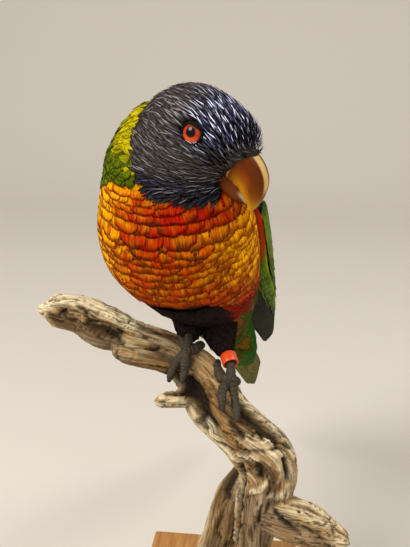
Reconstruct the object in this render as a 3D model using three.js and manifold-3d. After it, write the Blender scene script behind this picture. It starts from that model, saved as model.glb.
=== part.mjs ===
// A rainbow lorikeet, life size, standing on twisted driftwood over a wooden block.
// Millimetres, +Z up. The origin is the centre of the block's underside; the bird faces -Y.
import * as THREE from "three";
import { mergeVertices } from "three/addons/utils/BufferGeometryUtils.js";
import Module from "manifold-3d";

const wasm = await Module();
wasm.setup();

// Clearance between neighbouring nodes
const gap = 0.3;

const block = { width: 69, depth: 90, height: 20, chamfer: 1.2 };

// The head's own frame: x out of the face, y to the bird's left, z up
const head = {
  centre: [-8.4, 6.5, 221.8],
  yaw: 61.5,
  pitch: -8,
  front: 23,
  back: 23,
  side: 17.5,
  up: 18.2,
  down: 22,
  detail: 5,
};
// The hood's lower edge: a plane that falls from the nape to the throat
const hoodPlane = { at: [-18.2, -7.7, 212.3], normal: [0.163, -0.837, 0.522] };
const eye = { centre: [7.7, 12.4, 5.6], radius: 4.2, lidRing: 3.9, lidWire: 0.95, lidOut: 1.7 };
const nostril = { centre: [24.2, 4.1, 1.0], radius: 0.95, mound: 2.5, moundBack: 1.4 };

// Bill centre lines in the head's frame: x, z, half width, half height
const upperBill = [
  [15, -2.5, 7.2, 6.0],
  [21.3, -4.8, 6.9, 6.5],
  [25.4, -8.6, 5.9, 6.0],
  [26.8, -12.8, 4.2, 4.5],
  [27, -16.6, 2.3, 2.5],
  [26.7, -19.8, 0.5, 0.5],
];
const lowerBill = [
  [13, -9.5, 6.2, 4.4],
  [18, -12.2, 5.9, 4.3],
  [22, -15.2, 4.5, 3.0],
  [24.6, -17.8, 1.2, 0.7],
];

// Body stations from the shoulders to the vent: centre, turn, pitch, half width, back, belly, taper
const bodyStations = [
  { at: [-18.3, 7.5, 201], turn: 18, pitch: 62, side: 29, back: 24, belly: 23, taper: 0.02 },
  { at: [-17.6, 9.5, 190], turn: 18, pitch: 60, side: 32, back: 25, belly: 25.5, taper: 0.04 },
  { at: [-16.2, 15, 177], turn: 17, pitch: 57, side: 32, back: 25.5, belly: 26, taper: 0.06 },
  { at: [-11, 25, 161], turn: 15, pitch: 54, side: 26.2, back: 25.5, belly: 21, taper: 0.1 },
  { at: [-6.4, 37.5, 145], turn: 12, pitch: 51, side: 19, back: 25, belly: 12.6, taper: 0.22 },
  { at: [-5.4, 52, 129], turn: 9, pitch: 47, side: 13.4, back: 23, belly: 8.6, taper: 0.36 },
  { at: [-1.5, 66, 117], turn: 6, pitch: 43, side: 10.8, back: 17, belly: 8, taper: 0.4 },
];
const rumpStations = [
  bodyStations.at(-1),
  { at: [2, 78, 107], turn: 4, pitch: 41, side: 9.5, back: 10, belly: 6.5, taper: 0.1 },
  { at: [3.2, 91, 95.5], turn: 3, pitch: 40, side: 7.5, back: 5, belly: 4.2, taper: 0 },
  { at: [3.8, 102, 86.5], turn: 2, pitch: 40, side: 5, back: 2.5, belly: 2.4, taper: 0 },
];
const neckStations = [
  bodyStations[0],
  { at: [-19, 8, 208], turn: 18, pitch: 68, side: 26, back: 23, belly: 22, taper: 0 },
  { at: [-19.5, 9.5, 215], turn: 18, pitch: 76, side: 24, back: 20, belly: 21, taper: 0 },
  { at: [-18.5, 11, 223], turn: 18, pitch: 80, side: 20.8, back: 17, belly: 18, taper: 0 },
  { at: [-15.5, 10.5, 231], turn: 18, pitch: 84, side: 16.5, back: 14, belly: 12, taper: 0 },
];

// A wing lies on a strip of surface that starts at the bend (0) and ends at the tip (1)
const wing = {
  bendMid: [-11.1, 22.6, 192],
  tipMid: [4.1, 120.2, 90.8],
  bulge: 4,
  turn: [18, 3],
  outward: [26.5, 25.3, 22.9, 19.5, 15.5, 12.5, 10.5, 8],
  lean: [14, 22, 31, 40, 48, 55, 60, 63],
  below: [3, 13, 16, 16, 13.8, 10, 6.4, 2],
  above: [3, 17, 21.5, 21, 18.5, 14.5, 10.5, 5.5],
  curl: 34,
};

const tail = {
  root: [2.4, 80, 106],
  tip: [4.6, 149, 48.8],
  sag: 2.5,
  roof: 0.012,
  tips: [92, 85, 77, 68, 59, 50],
  width: 7.4,
};

const rad = THREE.MathUtils.degToRad;
const lerp = THREE.MathUtils.lerp;
const vec = (p) => new THREE.Vector3(...p);
const mix = (a, b, f) => a.clone().lerp(b, f);

// Smooth value at u, from 0 to 1, through evenly spaced numbers
function along(values, u) {
  const last = values.length - 1;
  const at = Math.min(Math.max(u, 0), 1) * last;
  const i = Math.min(Math.floor(at), last - 1);
  const f = at - i;
  const pick = (k) => values[Math.min(Math.max(k, 0), last)];
  const [a, b, c, d] = [pick(i - 1), pick(i), pick(i + 1), pick(i + 2)];
  const bend = 2 * a - 5 * b + 4 * c - d + f * (3 * (b - c) + d - a);
  return b + 0.5 * f * (c - a + f * bend);
}

const alongPoints = (points, u) => vec([0, 1, 2].map((k) => along(points.map((p) => p[k]), u)));

function solidOf(points, faces) {
  const vertProperties = new Float32Array(points.flatMap((p) => [p.x, p.y, p.z]));
  const build = (tris) => {
    const triVerts = new Uint32Array(tris.flat());
    return new wasm.Manifold(new wasm.Mesh({ numProp: 3, vertProperties, triVerts }));
  };
  const made = build(faces);
  return made.volume() < 0 ? build(faces.map(([a, b, c]) => [a, c, b])) : made;
}

// Faces around a stack of rings of equal count
function wallFaces(rings) {
  const sides = rings[0].length;
  const faces = [];
  for (let r = 0; r < (rings.length - 1) * sides; r += sides) {
    for (let k = 0; k < sides; k++) {
      const next = (k + 1) % sides;
      faces.push([r + k, r + next, r + sides + next], [r + k, r + sides + next, r + sides + k]);
    }
  }
  return faces;
}

// Closed solid through rings, with a pole at each end
function loft(rings, startPole, endPole) {
  const sides = rings[0].length;
  const points = [...rings.flat(), startPole, endPole];
  const start = points.length - 2;
  const lastRing = start - sides;
  const faces = wallFaces(rings);
  for (let k = 0; k < sides; k++) {
    const next = (k + 1) % sides;
    faces.push([start, next, k], [start + 1, lastRing + k, lastRing + next]);
  }
  return solidOf(points, faces);
}

// Closed slab through rings that run out along one face and back along the other
function slab(rings) {
  const sides = rings[0].length;
  const points = rings.flat();
  const end = points.length - sides;
  const faces = wallFaces(rings);
  for (let a = 0; a + 1 < sides / 2; a++) {
    const b = a + 1;
    const d = sides - 2 - a;
    const e = sides - 1 - a;
    faces.push([a, e, d], [a, d, b], [end + a, end + d, end + e], [end + a, end + b, end + d]);
  }
  return solidOf(points, faces);
}

// Evenly faceted ball whose points are moved by place(direction)
function blob(detail, place) {
  const ball = new THREE.IcosahedronGeometry(1, detail);
  ball.deleteAttribute("normal");
  ball.deleteAttribute("uv");
  const merged = mergeVertices(ball, 1e-4);
  const at = merged.getAttribute("position");
  const points = [];
  for (let i = 0; i < at.count; i++) {
    points.push(place(new THREE.Vector3().fromBufferAttribute(at, i).normalize()));
  }
  const faces = [];
  for (let i = 0; i < merged.index.count; i += 3) {
    faces.push([0, 1, 2].map((k) => merged.index.getX(i + k)));
  }
  return solidOf(points, faces);
}

const ballAt = (centre, radius, detail = 3) =>
  blob(detail, (way) => way.multiplyScalar(radius).add(centre));

// Rounded limb along a path; radii are per path point, relief(angle, u) scales the radius
function limb(path, radii, sides, rings, relief = () => 1) {
  const spine = (u) => alongPoints(path, u);
  let normal = null;
  let before = null;
  const made = [];
  for (let r = 0; r <= rings; r++) {
    const u = r / rings;
    const tangent = spine(Math.min(u + 0.01, 1)).sub(spine(Math.max(u - 0.01, 0))).normalize();
    if (normal) normal.applyQuaternion(new THREE.Quaternion().setFromUnitVectors(before, tangent));
    else normal = new THREE.Vector3(0.31, 0.17, 0.93).cross(tangent).normalize();
    before = tangent;
    const across = tangent.clone().cross(normal);
    const radius = along(radii, u);
    const ring = [];
    for (let k = 0; k < sides; k++) {
      const angle = (2 * Math.PI * k) / sides;
      const reach = radius * relief(angle, u);
      ring.push(
        spine(u)
          .addScaledVector(normal, Math.cos(angle) * reach)
          .addScaledVector(across, Math.sin(angle) * reach),
      );
    }
    made.push(ring);
  }
  const cap = (u, ahead) => spine(u).addScaledVector(ahead, along(radii, u) * 0.35);
  const startWay = spine(0).sub(spine(0.02)).normalize();
  const endWay = spine(1).sub(spine(0.98)).normalize();
  return loft(made, cap(0, startWay), cap(1, endWay));
}

const union = (solids) => solids.reduce((all, one) => all.add(one));

// The largest closed body of a solid
const largest = (solid) =>
  solid.decompose().reduce((best, one) => (one.volume() > best.volume() ? one : best));

const nodes = new THREE.Group();
const solids = {};

function addNode(name, solid, colour, roughness = 0.8) {
  const body = largest(solid.simplify(0.04));
  const mesh = body.getMesh();
  const geometry = new THREE.BufferGeometry();
  geometry.setAttribute("position", new THREE.BufferAttribute(mesh.vertProperties, 3));
  geometry.setIndex(new THREE.BufferAttribute(mesh.triVerts, 1));
  geometry.computeVertexNormals();
  const look = new THREE.MeshStandardMaterial({ color: colour, roughness, metalness: 0 });
  const node = new THREE.Mesh(geometry, look);
  node.name = name;
  nodes.add(node);
  solids[name] = body;
}

// Head

const headFrame = (() => {
  const yaw = rad(head.yaw);
  const pitch = rad(head.pitch);
  const level = vec([Math.sin(yaw), -Math.cos(yaw), 0]);
  const forward = level.multiplyScalar(Math.cos(pitch)).add(vec([0, 0, Math.sin(pitch)]));
  const left = vec([Math.cos(yaw), Math.sin(yaw), 0]);
  const up = forward.clone().cross(left);
  return new THREE.Matrix4().makeBasis(forward, left, up).setPosition(vec(head.centre));
})();
const inHead = (x, y, z) => vec([x, y, z]).applyMatrix4(headFrame);

// Raised and hollow places of the head: direction, height, spread
const headForms = [
  { way: [1, 0, 0.3], height: 3.6, spread: 0.07 },
  { way: [-0.2, 0, 1], height: 0.8, spread: 0.2 },
  { way: [0.2, 0.9, -0.55], height: 1.6, spread: 0.12 },
  { way: [0.2, -0.9, -0.55], height: 1.6, spread: 0.12 },
  { way: [0.45, 0.85, 0.3], height: -1.2, spread: 0.05 },
  { way: [0.45, -0.85, 0.3], height: -1.2, spread: 0.05 },
  { way: [0.9, 0, -0.7], height: -2.4, spread: 0.06 },
].map((form) => ({ ...form, way: vec(form.way).normalize() }));

function headSkin(way, swell = 0) {
  const x = way.x / (way.x > 0 ? head.front : head.back);
  const y = way.y / head.side;
  const z = way.z / (way.z > 0 ? head.up : head.down);
  let reach = 1 / Math.hypot(x, y, z) + swell;
  for (const form of headForms) {
    reach += form.height * Math.exp((way.dot(form.way) - 1) / form.spread);
  }
  return inHead(way.x * reach, way.y * reach, way.z * reach);
}

function bill(stations, swell = 0, sides = 14) {
  const rings = [];
  const steps = 8;
  for (let r = 0; r <= steps; r++) {
    const u = r / steps;
    const [x, z, wide, high] = [0, 1, 2, 3].map((k) => along(stations.map((s) => s[k]), u));
    const nudge = (k, d) => along(stations.map((s) => s[k]), u + d);
    const tangent = new THREE.Vector2(nudge(0, 0.02) - nudge(0, -0.02), nudge(1, 0.02) - nudge(1, -0.02));
    tangent.normalize();
    const ring = [];
    for (let k = 0; k < sides; k++) {
      const angle = (2 * Math.PI * k) / sides;
      const rise = Math.sin(angle) * (high + swell);
      const aside = Math.cos(angle) * (wide + swell);
      ring.push(inHead(x - tangent.y * rise, aside, z + tangent.x * rise));
    }
    rings.push(ring);
  }
  const first = stations[0];
  const last = stations[stations.length - 1];
  return loft(rings, inHead(first[0] - swell, 0, first[1]), inHead(last[0], 0, last[1] - last[3] - swell));
}

function eyeAt(side) {
  const [x, y, z] = eye.centre;
  return inHead(x, y * side, z);
}

// Raised rim of the lids: a ring square to the direction the eye looks in
function lids(side) {
  const look = inHead(0.22, side, 0.12).sub(inHead(0, 0, 0)).normalize();
  const ring = new THREE.TorusGeometry(eye.lidRing, eye.lidWire, 6, 16);
  ring.deleteAttribute("normal");
  ring.deleteAttribute("uv");
  const merged = mergeVertices(ring, 1e-4);
  const turn = new THREE.Quaternion().setFromUnitVectors(vec([0, 0, 1]), look);
  const centre = eyeAt(side).addScaledVector(look, eye.lidOut);
  const at = merged.getAttribute("position");
  const points = [];
  for (let i = 0; i < at.count; i++) {
    points.push(new THREE.Vector3().fromBufferAttribute(at, i).applyQuaternion(turn).add(centre));
  }
  const faces = [];
  for (let i = 0; i < merged.index.count; i += 3) {
    faces.push([0, 1, 2].map((k) => merged.index.getX(i + k)));
  }
  return solidOf(points, faces);
}

const cere = upperBill.slice(0, 3).map(([x, z, wide, high], i) => [
  lerp(x, 21, i === 2 ? 0.7 : 0),
  lerp(z, -4.3, i === 2 ? 0.7 : 0),
  wide + [0.9, 0.7, 0.2][i],
  high + [0.9, 0.9, 0.3][i],
]);

const eyeRooms = union([1, -1].map((side) => ballAt(eyeAt(side), eye.radius + gap, 2)));
let skull = union([blob(head.detail, (way) => headSkin(way)), bill(cere), lids(1), lids(-1)]);
for (const side of [1, -1]) {
  const [x, y, z] = nostril.centre;
  skull = skull.add(ballAt(inHead(x - nostril.moundBack, y * side * 0.9, z - 1), nostril.mound, 1));
  skull = skull.subtract(ballAt(inHead(x, (y + 0.9) * side, z + 0.3), nostril.radius, 1));
  addNode(side > 0 ? "eye_left" : "eye_right", ballAt(eyeAt(side), eye.radius, 2), 0xd8481c, 0.15);
}
addNode("bill_upper", bill(upperBill), 0xc06a24, 0.35);
addNode("bill_lower", bill(lowerBill).subtract(bill(upperBill, gap)), 0x9a5a2c, 0.4);

// Neck, torso and rump share one set of body rings

function bodyRing(stations, u, swell = 0, sides = 22) {
  const value = (key) => along(stations.map((s) => s[key]), u);
  const centre = alongPoints(stations.map((s) => s.at), u);
  const turn = rad(value("turn"));
  const pitch = rad(value("pitch"));
  const left = vec([Math.cos(turn), -Math.sin(turn), 0]);
  const rear = Math.sin(pitch);
  const dorsal = vec([rear * Math.sin(turn), rear * Math.cos(turn), Math.cos(pitch)]);
  const ring = [];
  for (let k = 0; k < sides; k++) {
    const angle = (2 * Math.PI * k) / sides;
    const up = Math.cos(angle);
    const depth = (up > 0 ? value("back") : value("belly")) + swell;
    const wide = (value("side") + swell) * (1 + value("taper") * up);
    ring.push(
      centre
        .clone()
        .addScaledVector(left, Math.sin(angle) * wide)
        .addScaledVector(dorsal, up * depth),
    );
  }
  return ring;
}

function bodyPiece(stations, steps, shift = 0, swell = 0) {
  const rings = [];
  const move = vec(stations[1].at).sub(vec(stations[0].at)).normalize().multiplyScalar(shift);
  for (let r = 0; r <= steps; r++) {
    const ring = bodyRing(stations, r / steps, swell);
    if (r === 0) ring.forEach((p) => p.add(move));
    rings.push(ring);
  }
  const middle = (ring) => ring.reduce((sum, p) => sum.add(p), vec([0, 0, 0])).divideScalar(ring.length);
  return loft(rings, middle(rings[0]), middle(rings.at(-1)));
}

// Wings

function wingPoint(side, s, w, lift) {
  const middle = mix(vec(wing.bendMid), vec(wing.tipMid), s);
  const axis = vec(wing.tipMid).sub(vec(wing.bendMid)).normalize();
  const turn = rad(lerp(wing.turn[0], wing.turn[1], s));
  const left = vec([Math.cos(turn), -Math.sin(turn), 0]);
  const dorsal = left.clone().cross(axis).normalize();
  const out = left.multiplyScalar(side);
  middle.addScaledVector(dorsal, wing.bulge * Math.sin(Math.PI * Math.min(Math.max(s, 0), 1)));
  middle.addScaledVector(out, along(wing.outward, s));
  const lean = rad(along(wing.lean, s));
  const normal = out.clone().multiplyScalar(Math.cos(lean)).addScaledVector(dorsal, Math.sin(lean));
  const across = out.clone().multiplyScalar(-Math.sin(lean)).addScaledVector(dorsal, Math.cos(lean));
  const bend = w / wing.curl;
  return middle
    .addScaledVector(across, Math.sin(bend) * (wing.curl + lift))
    .addScaledVector(normal, Math.cos(bend) * (wing.curl + lift) - wing.curl);
}

// Slab of wing between two lifts, which run with s; from and to are its ends
function wingSlab(side, from, to, steps, columns, inner, outer, widen = 0) {
  const rings = [];
  for (let r = 0; r <= steps; r++) {
    const s = lerp(from, to, r / steps);
    const ring = [];
    const reach = (f) => lerp(-along(wing.below, s) - widen, along(wing.above, s) + widen, f);
    for (let c = 0; c <= columns; c++) {
      const edge = Math.sin((Math.PI * c) / columns);
      ring.push(wingPoint(side, s, reach(c / columns), outer(s) * (0.3 + 0.7 * edge)));
    }
    for (let c = columns; c >= 0; c--) ring.push(wingPoint(side, s, reach(c / columns), inner(s)));
    rings.push(ring);
  }
  return slab(rings);
}

// One vane: a thin plate with square edges, tilted so that one edge rides over its neighbour
function vane(place, shape) {
  const { from, to, rootAcross, tipAcross, width, lift, rootLift, thick, tilt, grid } = shape;
  const stops = [from];
  const cells = Math.floor(from / grid) + 1;
  for (let k = cells; k * grid < to - 0.35 * grid; k++) stops.push(k * grid);
  const rings = stops.map((s) => {
    const f = (s - from) / (to - from);
    const middle = lerp(rootAcross, tipAcross, f);
    const half = 0.5 * width * Math.min(1, 0.6 + f) * Math.sqrt(Math.max(1 - f ** 4, 0.12));
    const top = lerp(rootLift, lift, Math.min(1, 3 * f));
    const low = middle - half;
    const high = middle + half;
    return [
      place(s, low, top + tilt * half),
      place(s, high, top - tilt * half),
      place(s, high, top - tilt * half - thick),
      place(s, low, top + tilt * half - thick),
    ];
  });
  const points = rings.flat();
  const tip = points.length;
  points.push(place(to, tipAcross, lift - 0.5 * thick));
  const faces = [[0, 2, 1], [0, 3, 2]];
  for (let r = 0; r + 1 < rings.length; r++) {
    const a = 4 * r;
    const b = a + 4;
    faces.push([a, a + 1, b + 1], [a, b + 1, b]);
    faces.push([a + 1, a + 2, b + 2], [a + 1, b + 2, b + 1]);
    faces.push([a + 2, a + 3, b + 2], [a + 3, b + 3, b + 2]);
    faces.push([a + 3, a, b], [a + 3, b, b + 3]);
  }
  for (let k = 0; k < 4; k++) faces.push([tip - 4 + k, tip - 4 + ((k + 1) % 4), tip]);
  return solidOf(points, faces);
}

// Rows of wing feathers, outermost to innermost; places across the wing are shares of its width
const wingRows = [
  { count: 7, from: [0.34, 0.34], to: [1, 0.76], across: [0.1, 0.5], end: [0.2, 0.75], width: 7, lift: 0, thick: 0.9 },
  { count: 6, from: [0.26, 0.24], to: [0.72, 0.56], across: [0.26, 0.8], end: [0.35, 0.9], width: 9, lift: 0.55, thick: 0.9 },
  { count: 3, from: [0.2, 0.2], to: [0.45, 0.4], across: [0.07, 0.16], end: [0.07, 0.18], width: 6, lift: 0.9, thick: 1.2 },
  { count: 3, from: [0.18, 0.14], to: [0.58, 0.46], across: [0.76, 0.9], end: [0.78, 0.92], width: 9, lift: 1.1, thick: 1.2 },
  { count: 6, from: [0.15, 0.13], to: [0.39, 0.35], across: [0.22, 0.9], end: [0.22, 0.9], width: 8.5, lift: 1.6, thick: 1.4 },
  { count: 5, from: [0.08, 0.08], to: [0.26, 0.24], across: [0.14, 0.86], end: [0.14, 0.86], width: 9, lift: 2.4, thick: 1.5 },
];
const wingTilt = 0.07;

function wingSolid(side) {
  const outer = (s) => along([2.6, 2.4, 1.6, 0.3, -0.3, -0.5], s / 0.62);
  const inner = (s) => along([-2.2, -2.6, -2.4, -2, -1.6, -1.2], s / 0.62);
  const core = wingSlab(side, 0, 0.62, 8, 6, inner, outer);
  const place = (s, w, lift) => wingPoint(side, s, w, lift);
  const acrossAt = (s, share) => lerp(-along(wing.below, s), along(wing.above, s), share);
  const vanes = wingRows.flatMap((row) =>
    [...Array(row.count).keys()].map((i) => {
      const f = i / (row.count - 1);
      const from = lerp(...row.from, f);
      const to = lerp(...row.to, f);
      return vane(place, {
        from,
        to,
        rootAcross: acrossAt(from, lerp(...row.across, f)),
        tipAcross: acrossAt(to, lerp(...row.end, f)),
        width: row.width,
        lift: row.lift,
        rootLift: row.lift - 0.7,
        thick: row.thick,
        tilt: wingTilt,
        grid: 0.11,
      });
    }),
  );
  return union([core, ...vanes]);
}

// Room cut out of the body under a wing, so that the two stay apart
const wingRoom = (side) => wingSlab(side, -0.03, 1, 14, 8, () => -3, () => 12, 1.5);

// A thin wall down the bird's middle, which keeps the two folded wings apart
const midWall = (() => {
  const axis = vec(wing.tipMid).sub(vec(wing.bendMid)).normalize();
  const rings = [];
  for (let s = -0.1; s < 1.1; s += 0.04) {
    const turn = rad(lerp(wing.turn[0], wing.turn[1], s));
    const left = vec([Math.cos(turn), -Math.sin(turn), 0]);
    const dorsal = left.clone().cross(axis).normalize();
    const middle = mix(vec(wing.bendMid), vec(wing.tipMid), s);
    const corners = [[-1, -1], [1, -1], [1, 1], [-1, 1]];
    rings.push(
      corners.map(([x, z]) => middle.clone().addScaledVector(left, (x * gap) / 2).addScaledVector(dorsal, z * 26)),
    );
  }
  const centreOf = (ring) => mix(ring[0], ring[2], 0.5);
  return loft(rings, centreOf(rings[0]), centreOf(rings.at(-1)));
})();

const rooms = union([wingRoom(1), wingRoom(-1)]);
addNode("wing_left", wingSolid(1).subtract(midWall), 0x2f6b2c, 0.7);
addNode("wing_right", wingSolid(-1).subtract(midWall), 0x2f6b2c, 0.7);

const torsoWhole = bodyPiece(bodyStations, 14).subtract(rooms);

// The hood above the plane takes the top of the neck with it
function halfSpace(plane, offset) {
  const normal = vec(plane.normal).normalize();
  const turn = new THREE.Quaternion().setFromUnitVectors(vec([0, 0, 1]), normal);
  const ring = (height) =>
    [[-150, -150], [150, -150], [150, 150], [-150, 150]].map(([x, y]) =>
      vec([x, y, height]).applyQuaternion(turn).add(vec(plane.at)),
    );
  const pole = (height) => vec([0, 0, height]).applyQuaternion(turn).add(vec(plane.at));
  return loft([ring(offset), ring(offset + 150)], pole(offset), pole(offset + 150));
}

const bills = bill(upperBill, gap).add(bill(lowerBill, gap));
const neckWhole = bodyPiece(neckStations, 8, gap).subtract(bills);
const shoulders = bodyPiece(bodyStations, 14, 0, gap);
const hoodSide = halfSpace(hoodPlane, 0);
const hood = neckWhole.intersect(hoodSide).add(skull).subtract(bills).subtract(eyeRooms);
addNode("head", hood.subtract(shoulders), 0x26242e);
const skullSpace = blob(head.detail, (way) => headSkin(way, 2 * gap));
addNode("neck", neckWhole.subtract(halfSpace(hoodPlane, -gap)).subtract(skullSpace), 0x6f9a2a);

// Tail

function tailPoint(s, w, lift) {
  const root = vec(tail.root);
  const tip = vec(tail.tip);
  const way = tip.clone().sub(root).normalize();
  const left = vec([way.y, -way.x, 0]).normalize();
  const up = left.clone().cross(way).normalize();
  const f = s / root.distanceTo(tip);
  const rise = lift - tail.roof * w * w + tail.sag * Math.sin(Math.PI * Math.min(Math.max(f, 0), 1));
  return root.addScaledVector(way, s).addScaledVector(left, w).addScaledVector(up, rise);
}

function tailFeathers() {
  return tail.tips.flatMap((reach, i) =>
    [1, -1].map((side) =>
      vane((s, w, lift) => tailPoint(s, side * w, lift), {
        from: -8,
        to: reach - (side < 0 ? 1.5 : 0),
        rootAcross: 2 + 0.8 * i,
        tipAcross: 1.2 + 0.75 * i,
        width: tail.width,
        lift: 0.2 - 0.3 * i + (side > 0 ? 0.35 : 0),
        rootLift: -0.1 - 0.3 * i,
        thick: 0.9,
        tilt: -0.1,
        grid: 13,
      }),
    ),
  );
}

const rump = bodyPiece(rumpStations, 7, gap);
addNode("tail", union([rump, ...tailFeathers()]).subtract(rooms), 0x7d7a22, 0.7);

// Legs and feet

const legs = {
  left: {
    thigh: [[-3.4, 31, 142.5], [-1.2, 25, 137.2], [1, 19.8, 133]],
    shank: [[-0.6, 23, 136], [2.2, 17.9, 131.8], [4.2, 13.6, 129.2], [5, 8.9, 125]],
    toes: [
      [[5, 8.9, 125], [2.6, 6.6, 122.5], [2, 1.4, 120.8], [2.6, -1.3, 117.9]],
      [[5, 8.9, 125], [5.9, 7, 120.4], [7.4, 3.1, 116.6], [8.4, -1.7, 113.3]],
      [[5, 8.9, 125], [6.4, 11.8, 122.2], [6.6, 15.6, 120], [4.4, 19.6, 116.8]],
      [[5, 8.9, 125], [0.9, 8.3, 125.2], [-1.2, 13.2, 127.6], [-1.6, 20, 126.2]],
    ],
  },
  right: {
    thigh: [[-14.8, 33, 146], [-14.2, 26.5, 141.6], [-13.6, 20.2, 138.6]],
    shank: [[-14, 25, 141.5], [-13.6, 19.5, 139.3], [-13.1, 14.8, 137.4], [-13.2, 10.6, 135]],
    toes: [
      [[-13.2, 10.6, 135], [-16.5, 8.9, 131.4], [-18.5, 8.7, 127.5], [-20.1, 9.6, 123]],
      [[-13.2, 10.6, 135], [-13.5, 8.1, 131.4], [-13.6, 7, 128.2], [-14, 5.6, 125.6]],
      [[-13.2, 10.6, 135], [-10.2, 13.5, 134.7], [-9.3, 18.5, 134.2], [-8.5, 23.6, 131.8]],
      [[-13.2, 10.6, 135], [-14.8, 14.6, 136.2], [-16.9, 20, 136.9], [-18.2, 25.4, 134.6]],
    ],
  },
};
const legSizes = {
  thigh: [8, 6.5, 3.8],
  shank: [2, 1.9, 1.9, 2.2],
  toe: [2.1, 2.0, 1.8, 1.5],
  claw: [1.2, 1.0, 0.7, 0.25],
  clawLength: 5,
};

// A claw carries on from the toe and curls towards the inside of the toe's bend
function claw(toe, swell = 0) {
  const tip = vec(toe[3]);
  const way = tip.clone().sub(vec(toe[2])).normalize();
  const inside = mix(mix(vec(toe[1]), tip, 0.5), vec(toe[0]), 0.35).add(vec([0, 2, -2]));
  const inward = inside.sub(tip).normalize();
  const path = [-0.25, 0.25, 0.65, 1].map((f) =>
    tip
      .clone()
      .addScaledVector(way, f * legSizes.clawLength * 0.85)
      .addScaledVector(inward, f * f * legSizes.clawLength * 0.55)
      .toArray(),
  );
  return limb(path, legSizes.claw.map((r) => r + swell), 5, 3);
}

function foot(leg, swell = 0) {
  const pads = (angle, u) => 1 + 0.06 * Math.cos(5 * Math.PI * u);
  const parts = [limb(leg.shank, legSizes.shank.map((r) => r + swell), 8, 4)];
  for (const toe of leg.toes) {
    parts.push(limb(toe, legSizes.toe.map((r) => r + swell), 6, 5, pads), claw(toe, swell));
  }
  return union(parts);
}

const thigh = (leg, swell = 0) => limb(leg.thigh, legSizes.thigh.map((r) => r + swell), 12, 5);

const footSpace = union(Object.values(legs).map((leg) => foot(leg, gap)));
for (const [side, leg] of Object.entries(legs)) {
  addNode(`thigh_${side}`, thigh(leg).subtract(shoulders).subtract(footSpace), 0x3f5a2a);
}
addNode("torso", torsoWhole.subtract(footSpace), 0xd2571c);

// Leg ring: a plain band round the left shank
const legRing = { radius: 3.3, hole: 2.5, height: 4.6, along: 0.55, sides: 14 };

function bandAlong(centre, way, radius, height, sides) {
  const half = way.clone().multiplyScalar(height / 2);
  return limb(
    [centre.clone().sub(half).toArray(), centre.toArray(), centre.clone().add(half).toArray()],
    [radius, radius, radius],
    sides,
    2,
  );
}

const onShank = (u) => alongPoints(legs.left.shank, u);
const ringWay = onShank(legRing.along + 0.1).sub(onShank(legRing.along - 0.1)).normalize();
const ringCentre = onShank(legRing.along);
const ringOuter = bandAlong(ringCentre, ringWay, legRing.radius, legRing.height, legRing.sides);
const ringHole = bandAlong(ringCentre, ringWay, legRing.hole, legRing.height * 3, legRing.sides);

// Driftwood: limbs with twisting grooves

function grooves(count, depth, twist, phase) {
  return (angle, u) => {
    const wave = Math.cos(count * (angle + twist * u) + phase);
    const swellings = 0.5 * Math.cos((count + 2) * (angle - twist * u) + 2 * phase);
    return 1 + depth * (wave + swellings);
  };
}

const woodSides = 11;
const woodLimbs = [
  {
    path: [
      [-74.8, 24.3, 144.6], [-72.5, 24.3, 144.4], [-68.5, 23.8, 144.2], [-59, 23.4, 143], [-51.5, 22, 140],
      [-45.3, 21, 138], [-39.4, 21, 135.6], [-32.5, 20, 133.6], [-25, 19, 131.5], [-18, 18, 128.5],
      [-10.5, 16, 124], [-5, 13, 117],
    ],
    radii: [3, 5.2, 6.7, 7.8, 8.7, 8.1, 6.7, 6.7, 7.3, 8, 9.5, 9.5],
    relief: grooves(3, 0.08, 1.6, 0.4),
    rings: 16,
  },
  {
    path: [[-43, 13.2, 133.4], [-40.2, 12.6, 133.2], [-35.3, 12.6, 132], [-29.5, 12.8, 130.6], [-23.9, 13.7, 128.6], [-17, 14.6, 126]],
    radii: [1.8, 4.1, 4.8, 5, 4.9, 5],
    relief: grooves(2, 0.08, 1, 1.1),
    rings: 7,
  },
  {
    path: [
      [-12, 15, 123.5], [-6, 13, 118.5], [-2.3, 10.8, 113.4], [3.6, 8, 107], [13.2, 4.5, 100], [20, 2.6, 92.9],
      [21.6, 1.2, 85.3], [19.1, -0.3, 75.6], [16.9, -1.8, 66.7], [16, -3.3, 56.8], [15, -4.5, 45], [13.5, -5, 32],
      [13, -5, 20.3],
    ],
    radii: [8, 9.5, 11.2, 10.6, 11.2, 11.8, 11, 9.8, 8.4, 7.6, 7.8, 9, 11],
    relief: grooves(4, 0.1, 2.6, 0),
    rings: 19,
  },
  {
    path: [[-6, 12, 116], [-12, 8.6, 116.8], [-16.1, 5.1, 117.1], [-19.8, 2.7, 117.5], [-22.6, 1.3, 117.8]],
    radii: [6, 5, 3.7, 3.1, 2.2],
    relief: grooves(3, 0.06, 1, 0.6),
    rings: 5,
  },
  {
    path: [
      [17, 8, 90], [13.6, 11.5, 80.7], [9.8, 13, 71.8], [6.6, 13, 63.5], [4, 12.5, 54], [0.8, 11.5, 44], [-3.6, 11, 33],
      [-7, 11, 20.3],
    ],
    radii: [5, 6, 7.5, 8.2, 7.9, 7.6, 8.2, 10],
    relief: grooves(3, 0.12, 2, 0.9),
    rings: 12,
  },
  {
    path: [[14, -1, 68], [20.9, -2.6, 71.5], [28.8, -5.2, 70.8], [35.7, -7, 69.8], [43.7, -9.8, 68], [50.5, -11.5, 67]],
    radii: [6, 7.8, 8.8, 8.8, 7.2, 4.4],
    relief: grooves(3, 0.08, 1.2, 2),
    rings: 8,
  },
];

const floorCut = (() => {
  const top = block.height + gap;
  const corners = [[-200, -200], [200, -200], [200, 200], [-200, 200]];
  const ring = (z) => corners.map(([x, y]) => vec([x, y, z]));
  return loft([ring(-60), ring(top)], vec([0, 0, -60]), vec([0, 0, top]));
})();

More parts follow.
